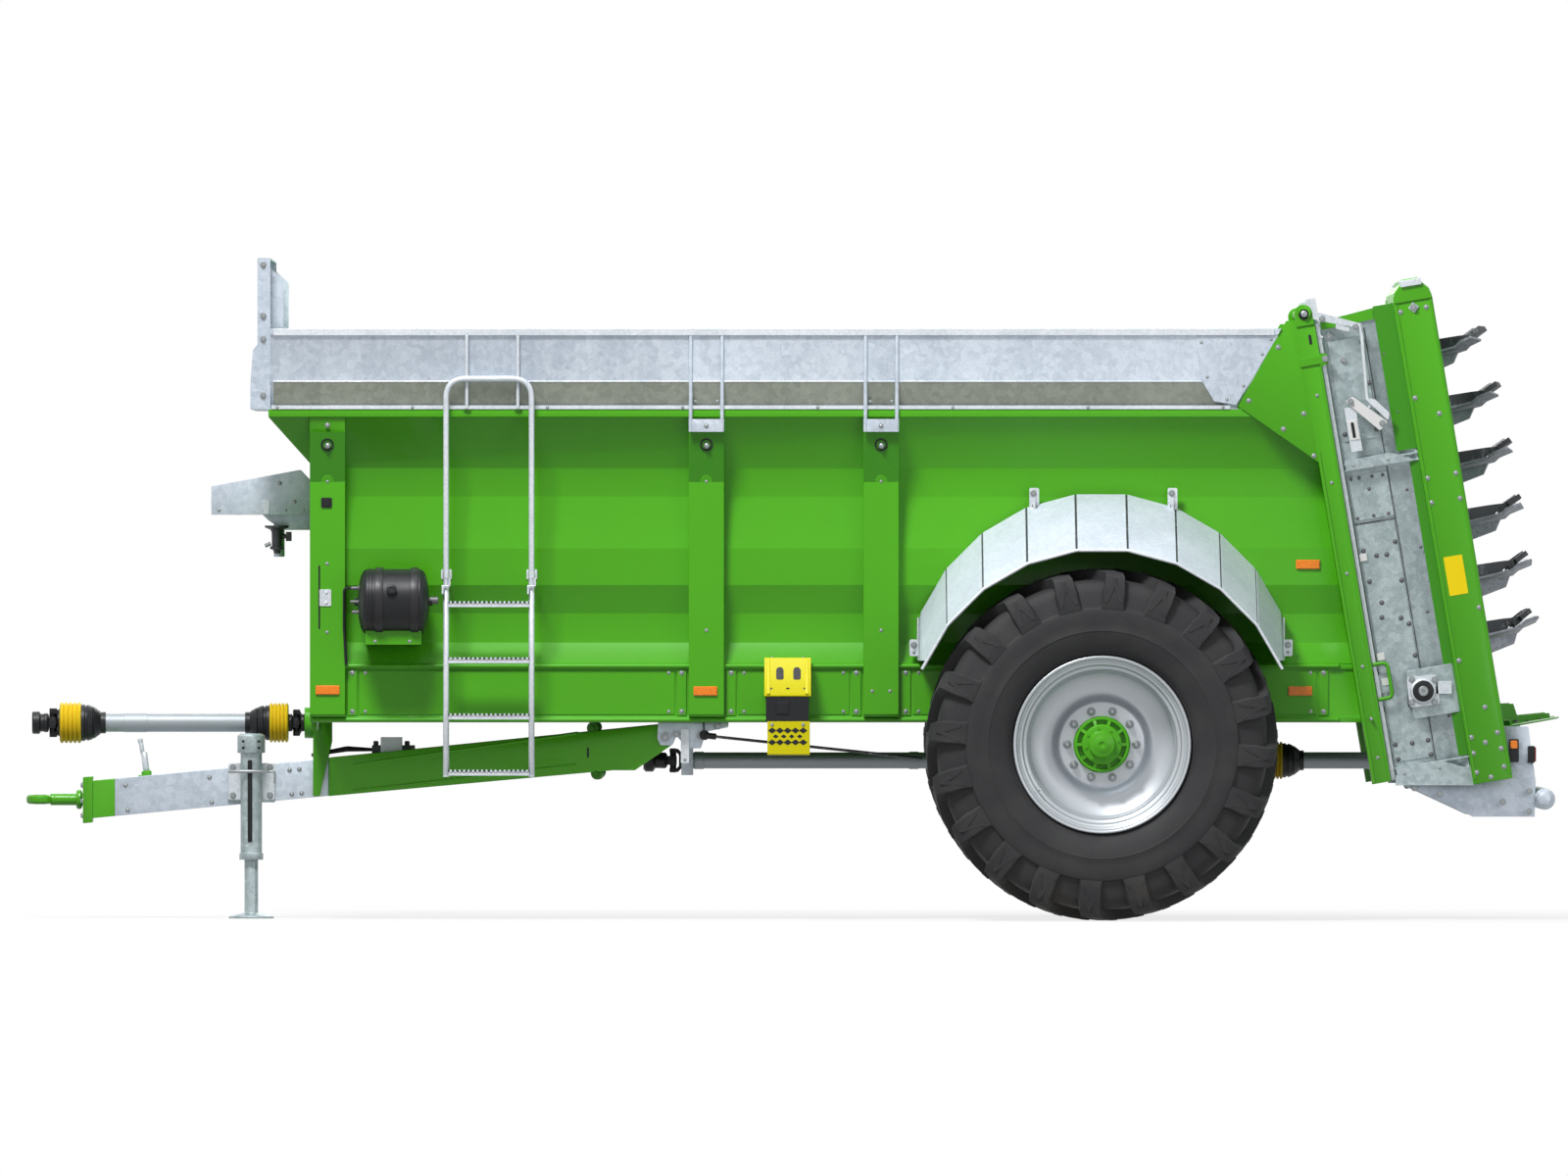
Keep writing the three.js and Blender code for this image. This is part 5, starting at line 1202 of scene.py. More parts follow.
# ---- Wheel chock in its holder ------------------------------------------------------------------------
def wheel_chock():
    """A hollow wedge with two openings in its slope, a dark band and a pierced holder under it."""
    low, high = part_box("wheel_chock")
    back, lip, face = -0.8003, -0.8603, low.y
    to_x = Matrix(((0, 0, 1, low.x), (1, 0, 0, 0), (0, 1, 0, 0), (0, 0, 0, 1)))
    width = high.x - low.x
    wedge, band, holder, dark, heads = forms(5)
    top = 1.335
    wedge.add(plate([(back, top), (lip, top), (face, 1.15), (face, 1.138), (back, 1.138)], width), to_x)
    for dx in (0.012, width - 0.03):
        wedge.add(plate([(lip - 0.004, 1.3345), (face - 0.006, 1.152), (face, 1.146), (lip, 1.328)], 0.018),
                  to_x @ Matrix.Translation((0, 0, dx)))
    band.add(plate([(back, 1.137), (face + 0.003, 1.137), (face + 0.003, 1.012), (back, 1.012)],
                   width - 0.02), to_x @ Matrix.Translation((0, 0, 0.008)))
    band.add(block((low.x + 0.06, face - 0.004, 1.05), (low.x + 0.125, face + 0.004, 1.11)))
    holder.add(plate([(back, 1.011), (face, 1.011), (face, 0.843), (face + 0.012, 0.838), (-0.8143, 0.838),
                      (-0.8143, 0.985), (back, 0.985)], width - 0.022),
               to_x @ Matrix.Translation((0, 0, 0.016)))
    slope = Vector((0, lip - face, top - 1.15)).normalized()
    normal = Vector((0, -slope.z, slope.y))
    # Black plates stand for the shade inside the openings in the slope: painted shade.
    opening = rounded([(-0.019, -0.036), (0.019, -0.036), (0.019, 0.02), (0.01, 0.036), (-0.01, 0.036),
                       (-0.019, 0.02)], 0.012)
    for x in (-0.061, 0.026):
        spot = Vector((x, lip, top)) - slope * 0.092
        turn = Matrix.Translation(spot + normal * 0.0006) @ Matrix((
            (1, 0, 0, 0), (0, slope.y, normal.y, 0), (0, slope.z, normal.z, 0), (0, 0, 0, 1)))
        dark.add(plate(opening, 0.0012), turn)
        for shift in (-0.046, 0.04):
            small = Matrix.Translation((shift, -0.088, 0))
            dark.tile((0.016, 0.009, 0.004), 0.0012, turn @ small)
    for x in (low.x + 0.04, high.x - 0.04):
        heads.add(SMALL_BOLT, along((x, -0.83, top), (0, 0, 1)))
        heads.add(SMALL_BOLT, along((x, face - 0.001, 0.995), -OUT))
    # Black diamonds stand for the shade inside the holder's holes: painted shade.
    for z, count, inset, wide, tall in ((0.965, 5, 0.04, 0.015, 0.021), (0.905, 5, 0.04, 0.015, 0.021),
                                        (0.935, 4, 0.058, 0.01, 0.014)):
        diamond = [(0, -tall), (wide, 0), (0, tall), (-wide, 0)]
        for x in spread(low.x + inset, high.x - inset, count):
            dark.add(plate(diamond, 0.0012), along((x, face - 0.0002, z), -OUT, math.pi / 2))
    wedge.piece("chock_wedge", "chock_yellow", bevel=0.005, stands_for=["wheel_chock"])
    band.piece("chock_band", "black", bevel=0.002)
    holder.piece("chock_holder", "chock_yellow", bevel=0.002)
    dark.piece("chock_openings", "black")
    heads.piece("chock_screws", "bolt_zinc")


# ---- Ladder -------------------------------------------------------------------------------------------
LADDER_X = (-1.76, -1.325)
LADDER_Y = -0.945
LADDER_TOP = 2.755
HINGE_Z = 1.7
STEPS, STEP_RISE = 4, 0.286
HIGH_STAY, LOW_STAY, FOOT_STAY_Y = 2.58, 1.76, -0.7783


def ladder():
    """Bent tube rails with stays to the tub, and folding steps with sawtooth treads."""
    upper, stays = forms(2)
    for x in LADDER_X:
        upper.add(block((x + 0.0125, LADDER_Y - 0.032, HINGE_Z + 0.0003),
                        (x + 0.022, LADDER_Y, HINGE_Z + 0.0403)))
        upper.add(rod((x - 0.022, LADDER_Y - 0.024, HINGE_Z), (x + 0.021, LADDER_Y - 0.024, HINGE_Z), 0.005,
                      12))
        upper.add(ring_form(oblong(0.0148, 0, 0.0175, 0.03), 18),
                  Matrix.Translation((x, LADDER_Y, HINGE_Z + 0.0403)))
        for z, tub_y in ((HIGH_STAY, -0.9053), (LOW_STAY, FOOT_STAY_Y)):
            stays.add(rod((x, LADDER_Y + 0.004, z), (x, tub_y, z), 0.009, 12))
        stays.tile((0.055, 0.05, 0.006), 0.005, along((x, FOOT_STAY_Y, LOW_STAY), -OUT))
    loop = bent([(LADDER_X[0], LADDER_Y, HINGE_Z + 0.0003), (LADDER_X[0], LADDER_Y, LADDER_TOP),
                 (LADDER_X[1], LADDER_Y, LADDER_TOP), (LADDER_X[1], LADDER_Y, HINGE_Z + 0.0003)], 0.1, 8)
    upper.add(swept(loop, 0.015, 20))
    upper.piece("ladder_head", "bright_zinc", crease=50, stands_for=["ladder_rails"])
    stays.piece("ladder_stays", "bright_zinc", crease=50)
    lower, treads, dark = forms(3)
    low_z = HINGE_Z - 0.107 - (STEPS - 1) * STEP_RISE
    for x in LADDER_X:
        lower.add(rod((x, LADDER_Y, low_z), (x, LADDER_Y, HINGE_Z), 0.015, 20, 0.001))
        lower.add(block((x - 0.022, LADDER_Y - 0.032, HINGE_Z - 0.04), (x - 0.0125, LADDER_Y, HINGE_Z)))
        lower.add(revolved(oblong(0, 0, 0.0165, 0.006), 18),
                  Matrix.Translation((x, LADDER_Y, low_z - 0.006)))
    start, end = LADDER_X[0] + 0.012, LADDER_X[1] - 0.012
    teeth = 18
    pitch = (end - start) / teeth
    for step in range(STEPS):
        base = low_z + STEP_RISE * step
        lower.add(block((start, LADDER_Y - 0.018, base), (end, LADDER_Y + 0.018, base + 0.017)))
        outline = [(start, base + 0.014)]
        for i in range(teeth):
            left = start + i * pitch
            outline += [(left + pitch * 0.2, base + 0.014), (left + pitch * 0.36, base + 0.031),
                        (left + pitch * 0.64, base + 0.031), (left + pitch * 0.8, base + 0.014)]
        outline.append((end, base + 0.014))
        for y in (LADDER_Y - 0.018, LADDER_Y + 0.0155):
            treads.add(plate(outline, 0.0025), upright(y))
        dark.add(block((start, LADDER_Y - 0.015, base + 0.016), (end, LADDER_Y + 0.015, base + 0.027)))
    lower.piece("ladder_fold_rails", "bright_zinc", body="ladder_lower", crease=50,
                stands_for=["ladder_steps"])
    treads.piece("ladder_treads", "bright_zinc", body="ladder_lower", crease=20)
    dark.piece("ladder_tread_beds", "dark", body="ladder_lower")


# ---- Air tank -----------------------------------------------------------------------------------------
def air_tank():
    low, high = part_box("air_tank")
    middle = (low + high) / 2
    radius = (high.z - low.z) / 2 - 0.001
    middle.y = -0.77 - radius
    foot = middle.z - radius
    shell, straps, fittings, bracket, heads = forms(5)
    length = high.x - low.x
    profile = [(0, 0.004), (0.02, 0.004), (0.02, 0.02), (radius * 0.5, 0.026), (radius * 0.78, 0.036),
               (radius * 0.93, 0.05), (radius * 0.985, 0.066), (radius * 0.985, 0.078), (radius, 0.08),
               (radius, 0.094), (radius * 0.985, 0.096)]
    back = [(r, length - 0.014 - z) for r, z in reversed(profile)]
    shell.add(revolved(profile + back, 48), along((low.x, middle.y, middle.z), FORWARD))
    for x in (-2.12, -1.94):
        strap = ring_form([(radius - 0.004, 0), (radius + 0.0055, 0), (radius + 0.0065, 0.004),
                           (radius + 0.0065, 0.036), (radius + 0.0055, 0.04), (radius - 0.004, 0.04)], 48)
        straps.add(strap, along((x, middle.y, middle.z), FORWARD))
        straps.add(block((x, middle.y + radius - 0.015, middle.z - 0.085),
                         (x + 0.04, -0.745, middle.z - 0.02)))
        heads.add(HEX_BOLT, along((x + 0.02, middle.y - 0.05, foot - 0.022), (0, -1, 0)))
    # A drain boss on the side, and the bracket below.
    shell.add(revolved([(0, 0), (0.026, 0), (0.026, 0.01), (0.019, 0.014), (0.012, 0.014), (0.01, 0.01),
                        (0, 0.01)], 24), along((-2.035, middle.y - radius + 0.002, middle.z + 0.062),
                                               (0, -1, 0.25)))
    for far_y, top in ((-0.737, foot - 0.046), (middle.y - 0.08, foot + 0.024)):
        bracket.add(block((-2.17, middle.y - 0.085, foot - 0.052), (-1.885, far_y, top)))
    for x in (-2.12, -1.945):
        heads.add(SMALL_BOLT, along((x, middle.y - 0.085, foot - 0.03), -OUT))
    for z, reach in ((0.07, 0.058), (0.0, 0.062), (-0.052, 0.054)):
        port = Vector((low.x + 0.045, middle.y - 0.055, middle.z + z))
        fittings.add(hexagon_bolt(0.03, 0.022), along(port, -FORWARD))
        fittings.add(rod(port, port - FORWARD * reach, 0.009, 12, 0.002))
    fittings.add(rod((high.x - 0.06, middle.y, middle.z + 0.008),
                     (high.x + 0.012, middle.y, middle.z + 0.008), 0.019, 18, 0.003))
    hoses = Form()
    route = [(low.x - 0.01, middle.y - 0.055, middle.z + 0.07),
             (low.x - 0.048, middle.y - 0.03, middle.z + 0.07),
             (low.x - 0.05, -0.85, middle.z - 0.13), (low.x - 0.04, -0.838, 1.3)]
    hoses.add(swept(bent(route, 0.035), 0.0075, 10))
    shell.piece("air_tank_shell", "black", crease=30, stands_for=["air_tank"])
    straps.piece("air_tank_straps", "tank_black", bevel=0.0008)
    bracket.piece("air_tank_bracket", "green", bevel=0.0012)
    fittings.piece("air_tank_fittings", "chain_steel")
    hoses.piece("air_tank_hose", "black", crease=60)
    heads.piece("air_tank_bolts", "bolt_zinc")


def hose_tray_fittings():
    """Bolts along the tray's foot, an eye tab and the valve that hangs under it."""
    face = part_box("hose_tray")[0].y
    heads, valve, brass, tab = forms(4)
    heads.copies(SMALL_BOLT, -OUT, *[(x, face, 2.088) for x in (-2.93, -2.7, -2.59, -2.5)])
    heads.copies(COACH_BOLT, -OUT, (-2.62, face, 2.225), (-2.545, face, 2.13))
    tab.add(plate(rounded([(-0.02, -0.02), (0.02, -0.02), (0.014, 0.05), (-0.014, 0.05)], 0.008), 0.006),
            along((-2.69, face, 2.118), -OUT, math.pi))
    centre_x = -2.636
    for y in (-0.09, 0.0, 0.09):
        place = Matrix.Translation((centre_x, y * 0.62, 0))
        valve.add(revolved([(0, 2.01), (0.064, 2.01), (0.062, 2.0), (0.034, 1.988), (0.028, 1.975),
                            (0.026, 1.905), (0.036, 1.902), (0.036, 1.89), (0.02, 1.884), (0.016, 1.868),
                            (0, 1.862)][::-1], 28), place)
    valve.add(rod((centre_x + 0.02, -0.05, 1.955), (centre_x + 0.075, -0.05, 1.955), 0.012, 14, 0.002))
    valve.add(block((centre_x + 0.045, -0.062, 1.93), (centre_x + 0.075, -0.038, 1.978)))
    brass.add(rod((centre_x - 0.032, -0.05, 1.918), (centre_x - 0.062, -0.05, 1.905), 0.01, 14, 0.002))
    heads.piece("hose_tray_bolts", "bolt_zinc")
    tab.piece("hose_tray_tab", "bright_zinc", bevel=0.0015)
    valve.piece("hose_tray_valves", "dark", crease=35)
    brass.piece("hose_tray_cock", "bolt_zinc")


mudguards()
wheel_chock()
ladder()
air_tank()
hose_tray_fittings()


# ---- Rear posts and beater housing, in a frame that leans forward -----------------------------------
LEAN = math.radians(9.5)
# Takes (run back from the gate line, across, height along the posts) to the machine's frame.
LEANED = Matrix(((math.cos(LEAN), 0, -math.sin(LEAN), 3.073), (0, 1, 0, 0),
                 (math.sin(LEAN), 0, math.cos(LEAN), 0), (0, 0, 0, 1)))
LEFTWARDS = Matrix(((1, 0, 0, 0), (0, 0, -1, 0), (0, 1, 0, 0), (0, 0, 0, 1)))  # +Z of a form to -Y
WALL_Y, CHANNEL_Y, POST_Y = 0.8535, 0.96, 0.915


def on_left(s, depth, t, roll=0.0):
    """A place on the left side of the leaning frame, for a form that stands out towards that side."""
    return LEANED @ Matrix.Translation((s, -depth, t)) @ LEFTWARDS @ Matrix.Rotation(roll, 4, "Z")


def heads_at(form, places, depth, head):
    """Bolt heads on the left side, at (run back, height) in the leaning frame."""
    for s, t in places:
        form.add(head, on_left(s, depth, t, chance.uniform(0, math.pi)))


def flat(form, outline, thickness, depth):
    """Adds a plate whose back lies at a depth on the left side, in the leaning frame."""
    form.add(plate(outline, thickness), on_left(0, depth, 0))


def wall_depth(s):
    """How far out the housing's outer face lies."""
    return WALL_Y + 0.0085 + max(0.0, s - 0.34) / (0.506 - 0.34) * 0.046


def rear_post_fittings():
    heads, green, zinc_parts, black, light = forms(5)
    # A rounded cap with a black pulley pin and its plated axle.
    cap = [(0.0, 3.06), (0.092, 3.06), (0.092, 3.122)]
    cap += [(0.046 + 0.046 * math.cos(a), 3.122 + 0.046 * math.sin(a)) for a in spread(0, math.pi, 12)][1:]
    flat(green, cap, 0.03, POST_Y - 0.022)
    black.add(revolved([(0, 0), (0.03, 0), (0.03, 0.008), (0.024, 0.013), (0, 0.013)], 26),
              on_left(0.05, POST_Y + 0.007, 3.12))
    light.add(revolved([(0, 0), (0.017, 0), (0.017, 0.01), (0.009, 0.015), (0, 0.015)], 20),
              on_left(0.05, POST_Y + 0.018, 3.12))
    zinc_parts.tile((0.052, 0.085, 0.008), 0.006, on_left(0.094, POST_Y + 0.001, 3.15))
    # A clamp band with its lug, and a folded strip all down the post's back edge.
    flat(green, oblong(-0.012, 2.855, 0.108, 2.895), 0.01, POST_Y - 0.002)
    flat(green, [(0.088, 2.84), (0.132, 2.85), (0.132, 2.9), (0.088, 2.91)], 0.022, POST_Y - 0.016)
    flat(zinc_parts, oblong(0.099, 0.705, 0.118, 3.06), 0.004, 0.885)
    black.tile((0.014, 0.05, 0.004), 0.002, on_left(0.06, POST_Y - 0.001, 2.985))
    flat(green, oblong(0.0, 2.42, 0.014, 0.705), 0.006, POST_Y - 0.001)
    flat(green, oblong(0.081, 2.84, 0.094, 0.705), 0.006, POST_Y - 0.001)
    heads_at(heads, [(-0.108, 2.975), (-0.3, 2.731), (-0.035, 2.62), (-0.15, 2.56), (-0.02, 2.4)], 0.9135,
             COACH_BOLT)
    heads_at(heads, [(0.119, 2.876)], POST_Y + 0.006, HEX_BOLT)
    heads_at(heads, [(0.047, t) for t in (2.7, 2.25, 1.78, 1.3, 0.83)], POST_Y + 0.001, SMALL_BOLT)
    green.pair("rear_post_trim", "green", LEFT, bevel=0.0012)
    zinc_parts.pair("rear_post_strip", "bright_zinc", LEFT, bevel=0.001)
    black.pair("rear_post_pulley", "black", LEFT)
    light.pair("rear_post_axle", "bolt_zinc", LEFT)
    heads.pair("rear_post_bolts", "bolt_zinc", LEFT)


def gate_gauge():
    """The level gauge's arm, rod, pointer plates and tag, on the left side only."""
    zinc_parts, rods, white, dark, heads = forms(5)

    def at(s, t, depth=0.925):
        return LEANED @ Vector((s, -depth, t))
    arm = [(0.093, 3.13), (0.33, 3.022), (0.33, 2.996), (0.12, 3.072), (0.093, 3.085)]
    flat(zinc_parts, arm, 0.006, 0.922)
    flat(zinc_parts, rounded([(0.195, 3.02), (0.262, 2.99), (0.268, 3.012), (0.202, 3.044)], 0.01), 0.004,
         0.93)
    rods.add(swept(bent([at(0.318, 3.02), at(0.322, 2.96), at(0.296, 2.64)], 0.02), 0.01, 12))
    flat(white, rounded([(0.181, 2.646), (0.225, 2.664), (0.381, 2.507), (0.334, 2.469)], 0.012), 0.01, 0.922)
    flat(zinc_parts, rounded([(0.278, 2.65), (0.334, 2.632), (0.395, 2.552), (0.384, 2.512)], 0.008), 0.006,
         0.934)
    flat(white, oblong(0.176, 2.546, 0.226, 2.445), 0.004, 0.918)
    flat(zinc_parts, oblong(0.172, 2.612, 0.23, 2.385), 0.005, 0.912)
    # The black tile stands for the shade inside the slot: painted shade.
    dark.tile((0.016, 0.08, 0.006), 0.001, on_left(0.2, 0.9225, 2.495))
    heads_at(heads, [(0.137, 3.08), (0.3, 3.012)], 0.928, HEX_BOLT)
    heads_at(heads, [(0.21, 2.64), (0.352, 2.505)], 0.932, HEX_BOLT)
    for s, t in ((0.12, 2.99), (0.3, 2.6)):
        rods.add(rod(at(s, t, 0.868), at(s, t, 0.924), 0.007, 10))
    zinc_parts.piece("gauge_plates", "bright_zinc", bevel=0.001)
    rods.piece("gauge_rods", "bright_zinc", slot="bare_steel", crease=60)
    white.piece("gauge_pointer", "white", bevel=0.0015)
    dark.piece("gauge_slot", "black")
    heads.piece("gauge_bolts", "bolt_zinc")


def wall_fittings():
    """Panels, doors, seams, square washers and bolts on the housing's sides."""
    zinc_parts, seams, heads, dark_heads, green, nuts, returns = forms(7)
    face = WALL_Y + 0.0085
    flat(zinc_parts, oblong(0.135, 2.262, 0.335, 2.035), 0.005, face)
    flat(zinc_parts, oblong(0.135, 2.01, 0.33, 0.79), 0.003, face)
    flat(zinc_parts, oblong(0.145, 2.96, 0.325, 2.44), 0.003, face)
    flat(seams, oblong(0.336, 3.0, 0.341, 0.77), 0.0012, face + 0.0006)
    flat(seams, oblong(0.13, 2.014, 0.336, 2.022), 0.0012, face)
    for s, t in ((0.157, 2.985), (0.605, 3.06)):
        depth = face if s < 0.5 else CHANNEL_Y + 0.001
        zinc_parts.tile((0.04, 0.04, 0.003), 0.005, on_left(s, depth, t, math.pi / 4))
        heads_at(heads, [(s, t)], depth + 0.005, HEX_BOLT)
    heads_at(heads, [(0.211, 2.854)], face + 0.003, HEX_BOLT)
    small = [(0.148, 2.25), (0.19, 2.25), (0.256, 2.248), (0.311, 2.246), (0.231, 2.187), (0.231, 2.05),
             (0.308, 2.048), (0.148, 2.048), (0.15, 1.88), (0.212, 1.845), (0.265, 1.842), (0.199, 1.604),
             (0.187, 1.53), (0.283, 1.512), (0.318, 1.476), (0.323, 1.312), (0.161, 1.195), (0.156, 1.13),
             (0.234, 0.873), (0.316, 0.875), (0.319, 0.8), (0.148, 0.88), (0.15, 0.803), (0.318, 1.9),
             (0.318, 1.7), (0.155, 1.72), (0.155, 2.48), (0.318, 2.48), (0.318, 2.93), (0.318, 2.72)]
    heads_at(dark_heads, small, face + 0.003, COACH_BOLT)
    for s, t in ((0.144, 1.847), (0.149, 1.334), (0.15, 1.205)):
        nuts.tile((0.038, 0.038, 0.004), 0.012, on_left(s, face, t))
    flat(zinc_parts, oblong(0.098, 1.245, 0.19, 1.15), 0.008, face)
    back_row = [(0.42 + 0.02 * (i % 2), t) for i, t in enumerate((2.85, 2.55, 2.15, 1.85, 1.52, 0.98))]
    for s, t in back_row:
        dark_heads.add(SMALL_BOLT, on_left(s, wall_depth(s), t))
    # A green loop and a grease point on the post, over the wall's front edge.
    loop = ((0.1, 0.9, 1.3), (0.175, 0.905, 1.3), (0.175, 0.905, 1.12), (0.1, 0.9, 1.12))
    route = [LEANED @ Vector((s, -d, t)) for s, d, t in loop]
    green.add(swept(bent(route, 0.03), 0.01, 12))
    heads.add(revolved([(0, 0), (0.009, 0), (0.009, 0.012), (0.005, 0.016), (0.006, 0.024), (0, 0.026)], 12),
              on_left(0.047, POST_Y + 0.005, 1.03))
    # Stiffening lips along both ledges.
    for t in (2.296, 0.704):
        flat(zinc_parts, [(0.13, t - 0.001), (0.492, t - 0.001), (0.366, t + 0.056), (0.13, t + 0.05)],
             0.004, 0.9135)
        heads_at(heads, [(0.17, t + 0.022), (0.35, t + 0.022)], 0.9175, SMALL_BOLT)
    # The channel's green return over the slanted rear part, in the shaded copy of the green as painted shade,
    # and the plate of the top link.
    for start, low, high in ((0.402, 2.352, 3.1), (0.456, 0.77, 2.292)):
        corners = [LEANED @ Vector((s, -wall_depth(s) - 0.0004, t))
                   for s, t in oblong(start, low, 0.505, high)]
        returns.add(slab(corners, 0.003))
    flat(green, [(0.124, 3.024), (0.4, 3.036), (0.4, 3.092), (0.124, 3.066)], 0.007, face)
    # The panels are in the darker, green-tinted zinc: painted shade and a painted reflection of the green body.
    zinc_parts.pair("housing_panels", "painted_shade_wall_zinc", LEFT, bevel=0.0009)
    seams.pair("housing_seams", "dark", LEFT)
    heads.pair("housing_bolts", "bolt_zinc", LEFT)
    dark_heads.pair("housing_dark_bolts", "chain_steel", LEFT)
    green.pair("housing_loop", "green", LEFT, crease=50)
    nuts.pair("housing_nuts", "white", LEFT, bevel=0.0012)
    returns.pair("housing_returns", "painted_shade_green", LEFT, bevel=0.0008)


def shaft_bearing():
    """The flanged bearing of the floor's rear shaft, in its frame."""
    plate_part, ring, axle, green, heads = forms(5)
    centre = Vector((3.2145, 0, 1.1655))
    face = 0.9135

    def at(dx, depth, dz, roll=0.0):
        spot = Matrix.Translation((centre.x + dx, -depth, centre.z + dz))
        return spot @ LEFTWARDS @ Matrix.Rotation(roll, 4, "Z")
    frame_outline = rectangle(0.25, 0.25, 0.02)
    green.add(plate(frame_outline, 0.018), at(0.055, face - 0.022, 0.0, 0.165))
    plate_part.tile((0.155, 0.155, 0.022), 0.014, at(0, face - 0.004, 0, 0.12))
    plate_part.add(revolved([(0, 0), (0.068, 0), (0.064, 0.016), (0.054, 0.022), (0, 0.022)], 36),
                   at(0, face + 0.008, 0))
    ring.add(ring_form([(0.026, 0), (0.054, 0), (0.054, 0.01), (0.048, 0.014), (0.026, 0.014)], 36),
             at(0, face + 0.028, 0))
    axle.add(revolved([(0, 0), (0.026, 0), (0.026, 0.022), (0.022, 0.026), (0.008, 0.026), (0.006, 0.02),
                       (0, 0.02)], 28), at(0, face + 0.024, 0))
    for dx in (-0.058, 0.058):
        for dz in (-0.058, 0.058):
            heads.add(HEX_BOLT, at(dx, face + 0.01, dz))
    plate_part.tile((0.082, 0.066, 0.006), 0.006, at(0.105, face + 0.004, 0.018))
    # The frame is in the darker, green-tinted zinc: painted shade and a painted reflection of the green body.
    green.pair("bearing_frame", "painted_shade_wall_zinc", LEFT, bevel=0.002)
    plate_part.pair("bearing_housing", "bright_zinc", LEFT, bevel=0.0015)
    ring.pair("bearing_ring", "black", LEFT)
    axle.pair("bearing_axle", "bolt_zinc", LEFT)
    heads.pair("bearing_bolts", "bolt_zinc", LEFT)


def channel_fittings():
    """Bolts, lips and cap of the beater channels, and a plain yellow plate on the left one."""
    heads, green, zinc_parts, label = forms(4)
    places = [(0.535, 3.048), (0.668, 3.052), (0.536, 2.605), (0.645, 2.507), (0.531, 2.192), (0.678, 2.194),
              (0.53, 2.066), (0.678, 2.064), (0.627, 0.995), (0.668, 0.857), (0.533, 0.854), (0.6, 0.817),
              (0.674, 0.774), (0.53, 0.773), (0.673, 0.68), (0.53, 0.673), (0.599, 0.638), (0.535, 1.25),
              (0.682, 1.5)]
    heads_at(heads, places, CHANNEL_Y + 0.0005, COACH_BOLT)
    for s in (0.512, 0.69):
        flat(green, [(s, 0.64), (s + 0.012, 0.64), (s + 0.012, 3.09), (s, 3.09)], 0.005, CHANNEL_Y - 0.001)
    corner = [(0.509, 3.095), (0.705, 3.095), (0.705, 3.12), (0.677, 3.165), (0.548, 3.172), (0.509, 3.125)]
    flat(green, corner, 0.02, CHANNEL_Y - 0.012)
    flat(zinc_parts, oblong(0.556, 3.17, 0.664, 3.204), 0.24, 0.74)
    green.pair("channel_trim", "green", LEFT, bevel=0.0015)
    zinc_parts.pair("channel_cap", "bright_zinc", LEFT, bevel=0.003)
    heads.pair("channel_bolts", "bolt_zinc", LEFT)
    label.tile((0.096, 0.2, 0.006), 0.0012, on_left(0.592, CHANNEL_Y + 0.0004, 1.68))
    label.piece("channel_label", "sticker_yellow")


def tail_fittings():
    """Lamps and bolts on the tail plates."""
    heads, housings, lenses, red, sills = forms(5)
    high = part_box("rear_skirt")[1]
    for x, z in ((3.755, 0.655), (3.755, 0.552), (3.62, 0.6), (3.3, 0.64), (3.17, 0.672)):
        heads.add(HEX_BOLT, along((x, -high.y - 0.0005, z), -OUT))
    # The ledge between the housing's foot and the tail plate.
    ledge = [(3.074, 0.69), (3.5, 0.69), (3.5, 0.775), (3.3, 0.768), (3.2, 0.738), (3.074, 0.737)]
    sills.add(plate(ledge, 0.012), Matrix.Translation((0, -0.905, 0)) @ LEFTWARDS)
    sills.add(plate(oblong(3.074, 0.685, 3.5, 0.692), 0.02),
              Matrix.Translation((0, -0.905, 0)) @ LEFTWARDS)
    housings.tile((0.05, 0.118, 0.008), 0.03, along((3.676, -high.y, 0.862), -OUT))
    lenses.tile((0.036, 0.04, 0.006), 0.008, along((3.676, -high.y - 0.029, 0.893), -OUT))
    for y in (0.8, 0.62):
        housings.add(block((high.x - 0.14, y - 0.075, 0.8), (high.x - 0.105, y + 0.075, 0.885)))
        target = red if y > 0.7 else lenses
        target.add(block((high.x - 0.106, y - 0.068, 0.806), (high.x - 0.098, y + 0.068, 0.879)))
    heads.pair("tail_bolts", "bolt_zinc", LEFT)
    # The sill is in the darker, green-tinted zinc: painted shade and a painted reflection of the green body.
    sills.pair("tail_sill", "painted_shade_wall_zinc", LEFT, bevel=0.001)
    housings.pair("tail_lamp_housings", "black", LEFT, bevel=0.003)
    lenses.pair("tail_lamp_amber", "amber", LEFT, bevel=0.002)
    red.pair("tail_lamp_red", "red", LEFT, bevel=0.002)


rear_post_fittings()
gate_gauge()
wall_fittings()
shaft_bearing()
channel_fittings()
tail_fittings()


# ---- Beaters ----------------------------------------------------------------------------------------
BEATER_SETBACK, BEATER_Y = 0.597, 0.43
DISC_T, BEATER_TOP = 0.871, 2.99
ROWS, FIRST_ROW, ROW_PITCH = 6, 1.385, 0.293
ROW_TWIST = math.radians(12)


def profile(outline, thickness):
    """An outline in (radius, height), as an upright plate centred on the arm's line."""
    points, faces = plate(outline, thickness, -thickness / 2)
    return [upright(0) @ Vector(point) for point in points], [face[::-1] for face in faces]


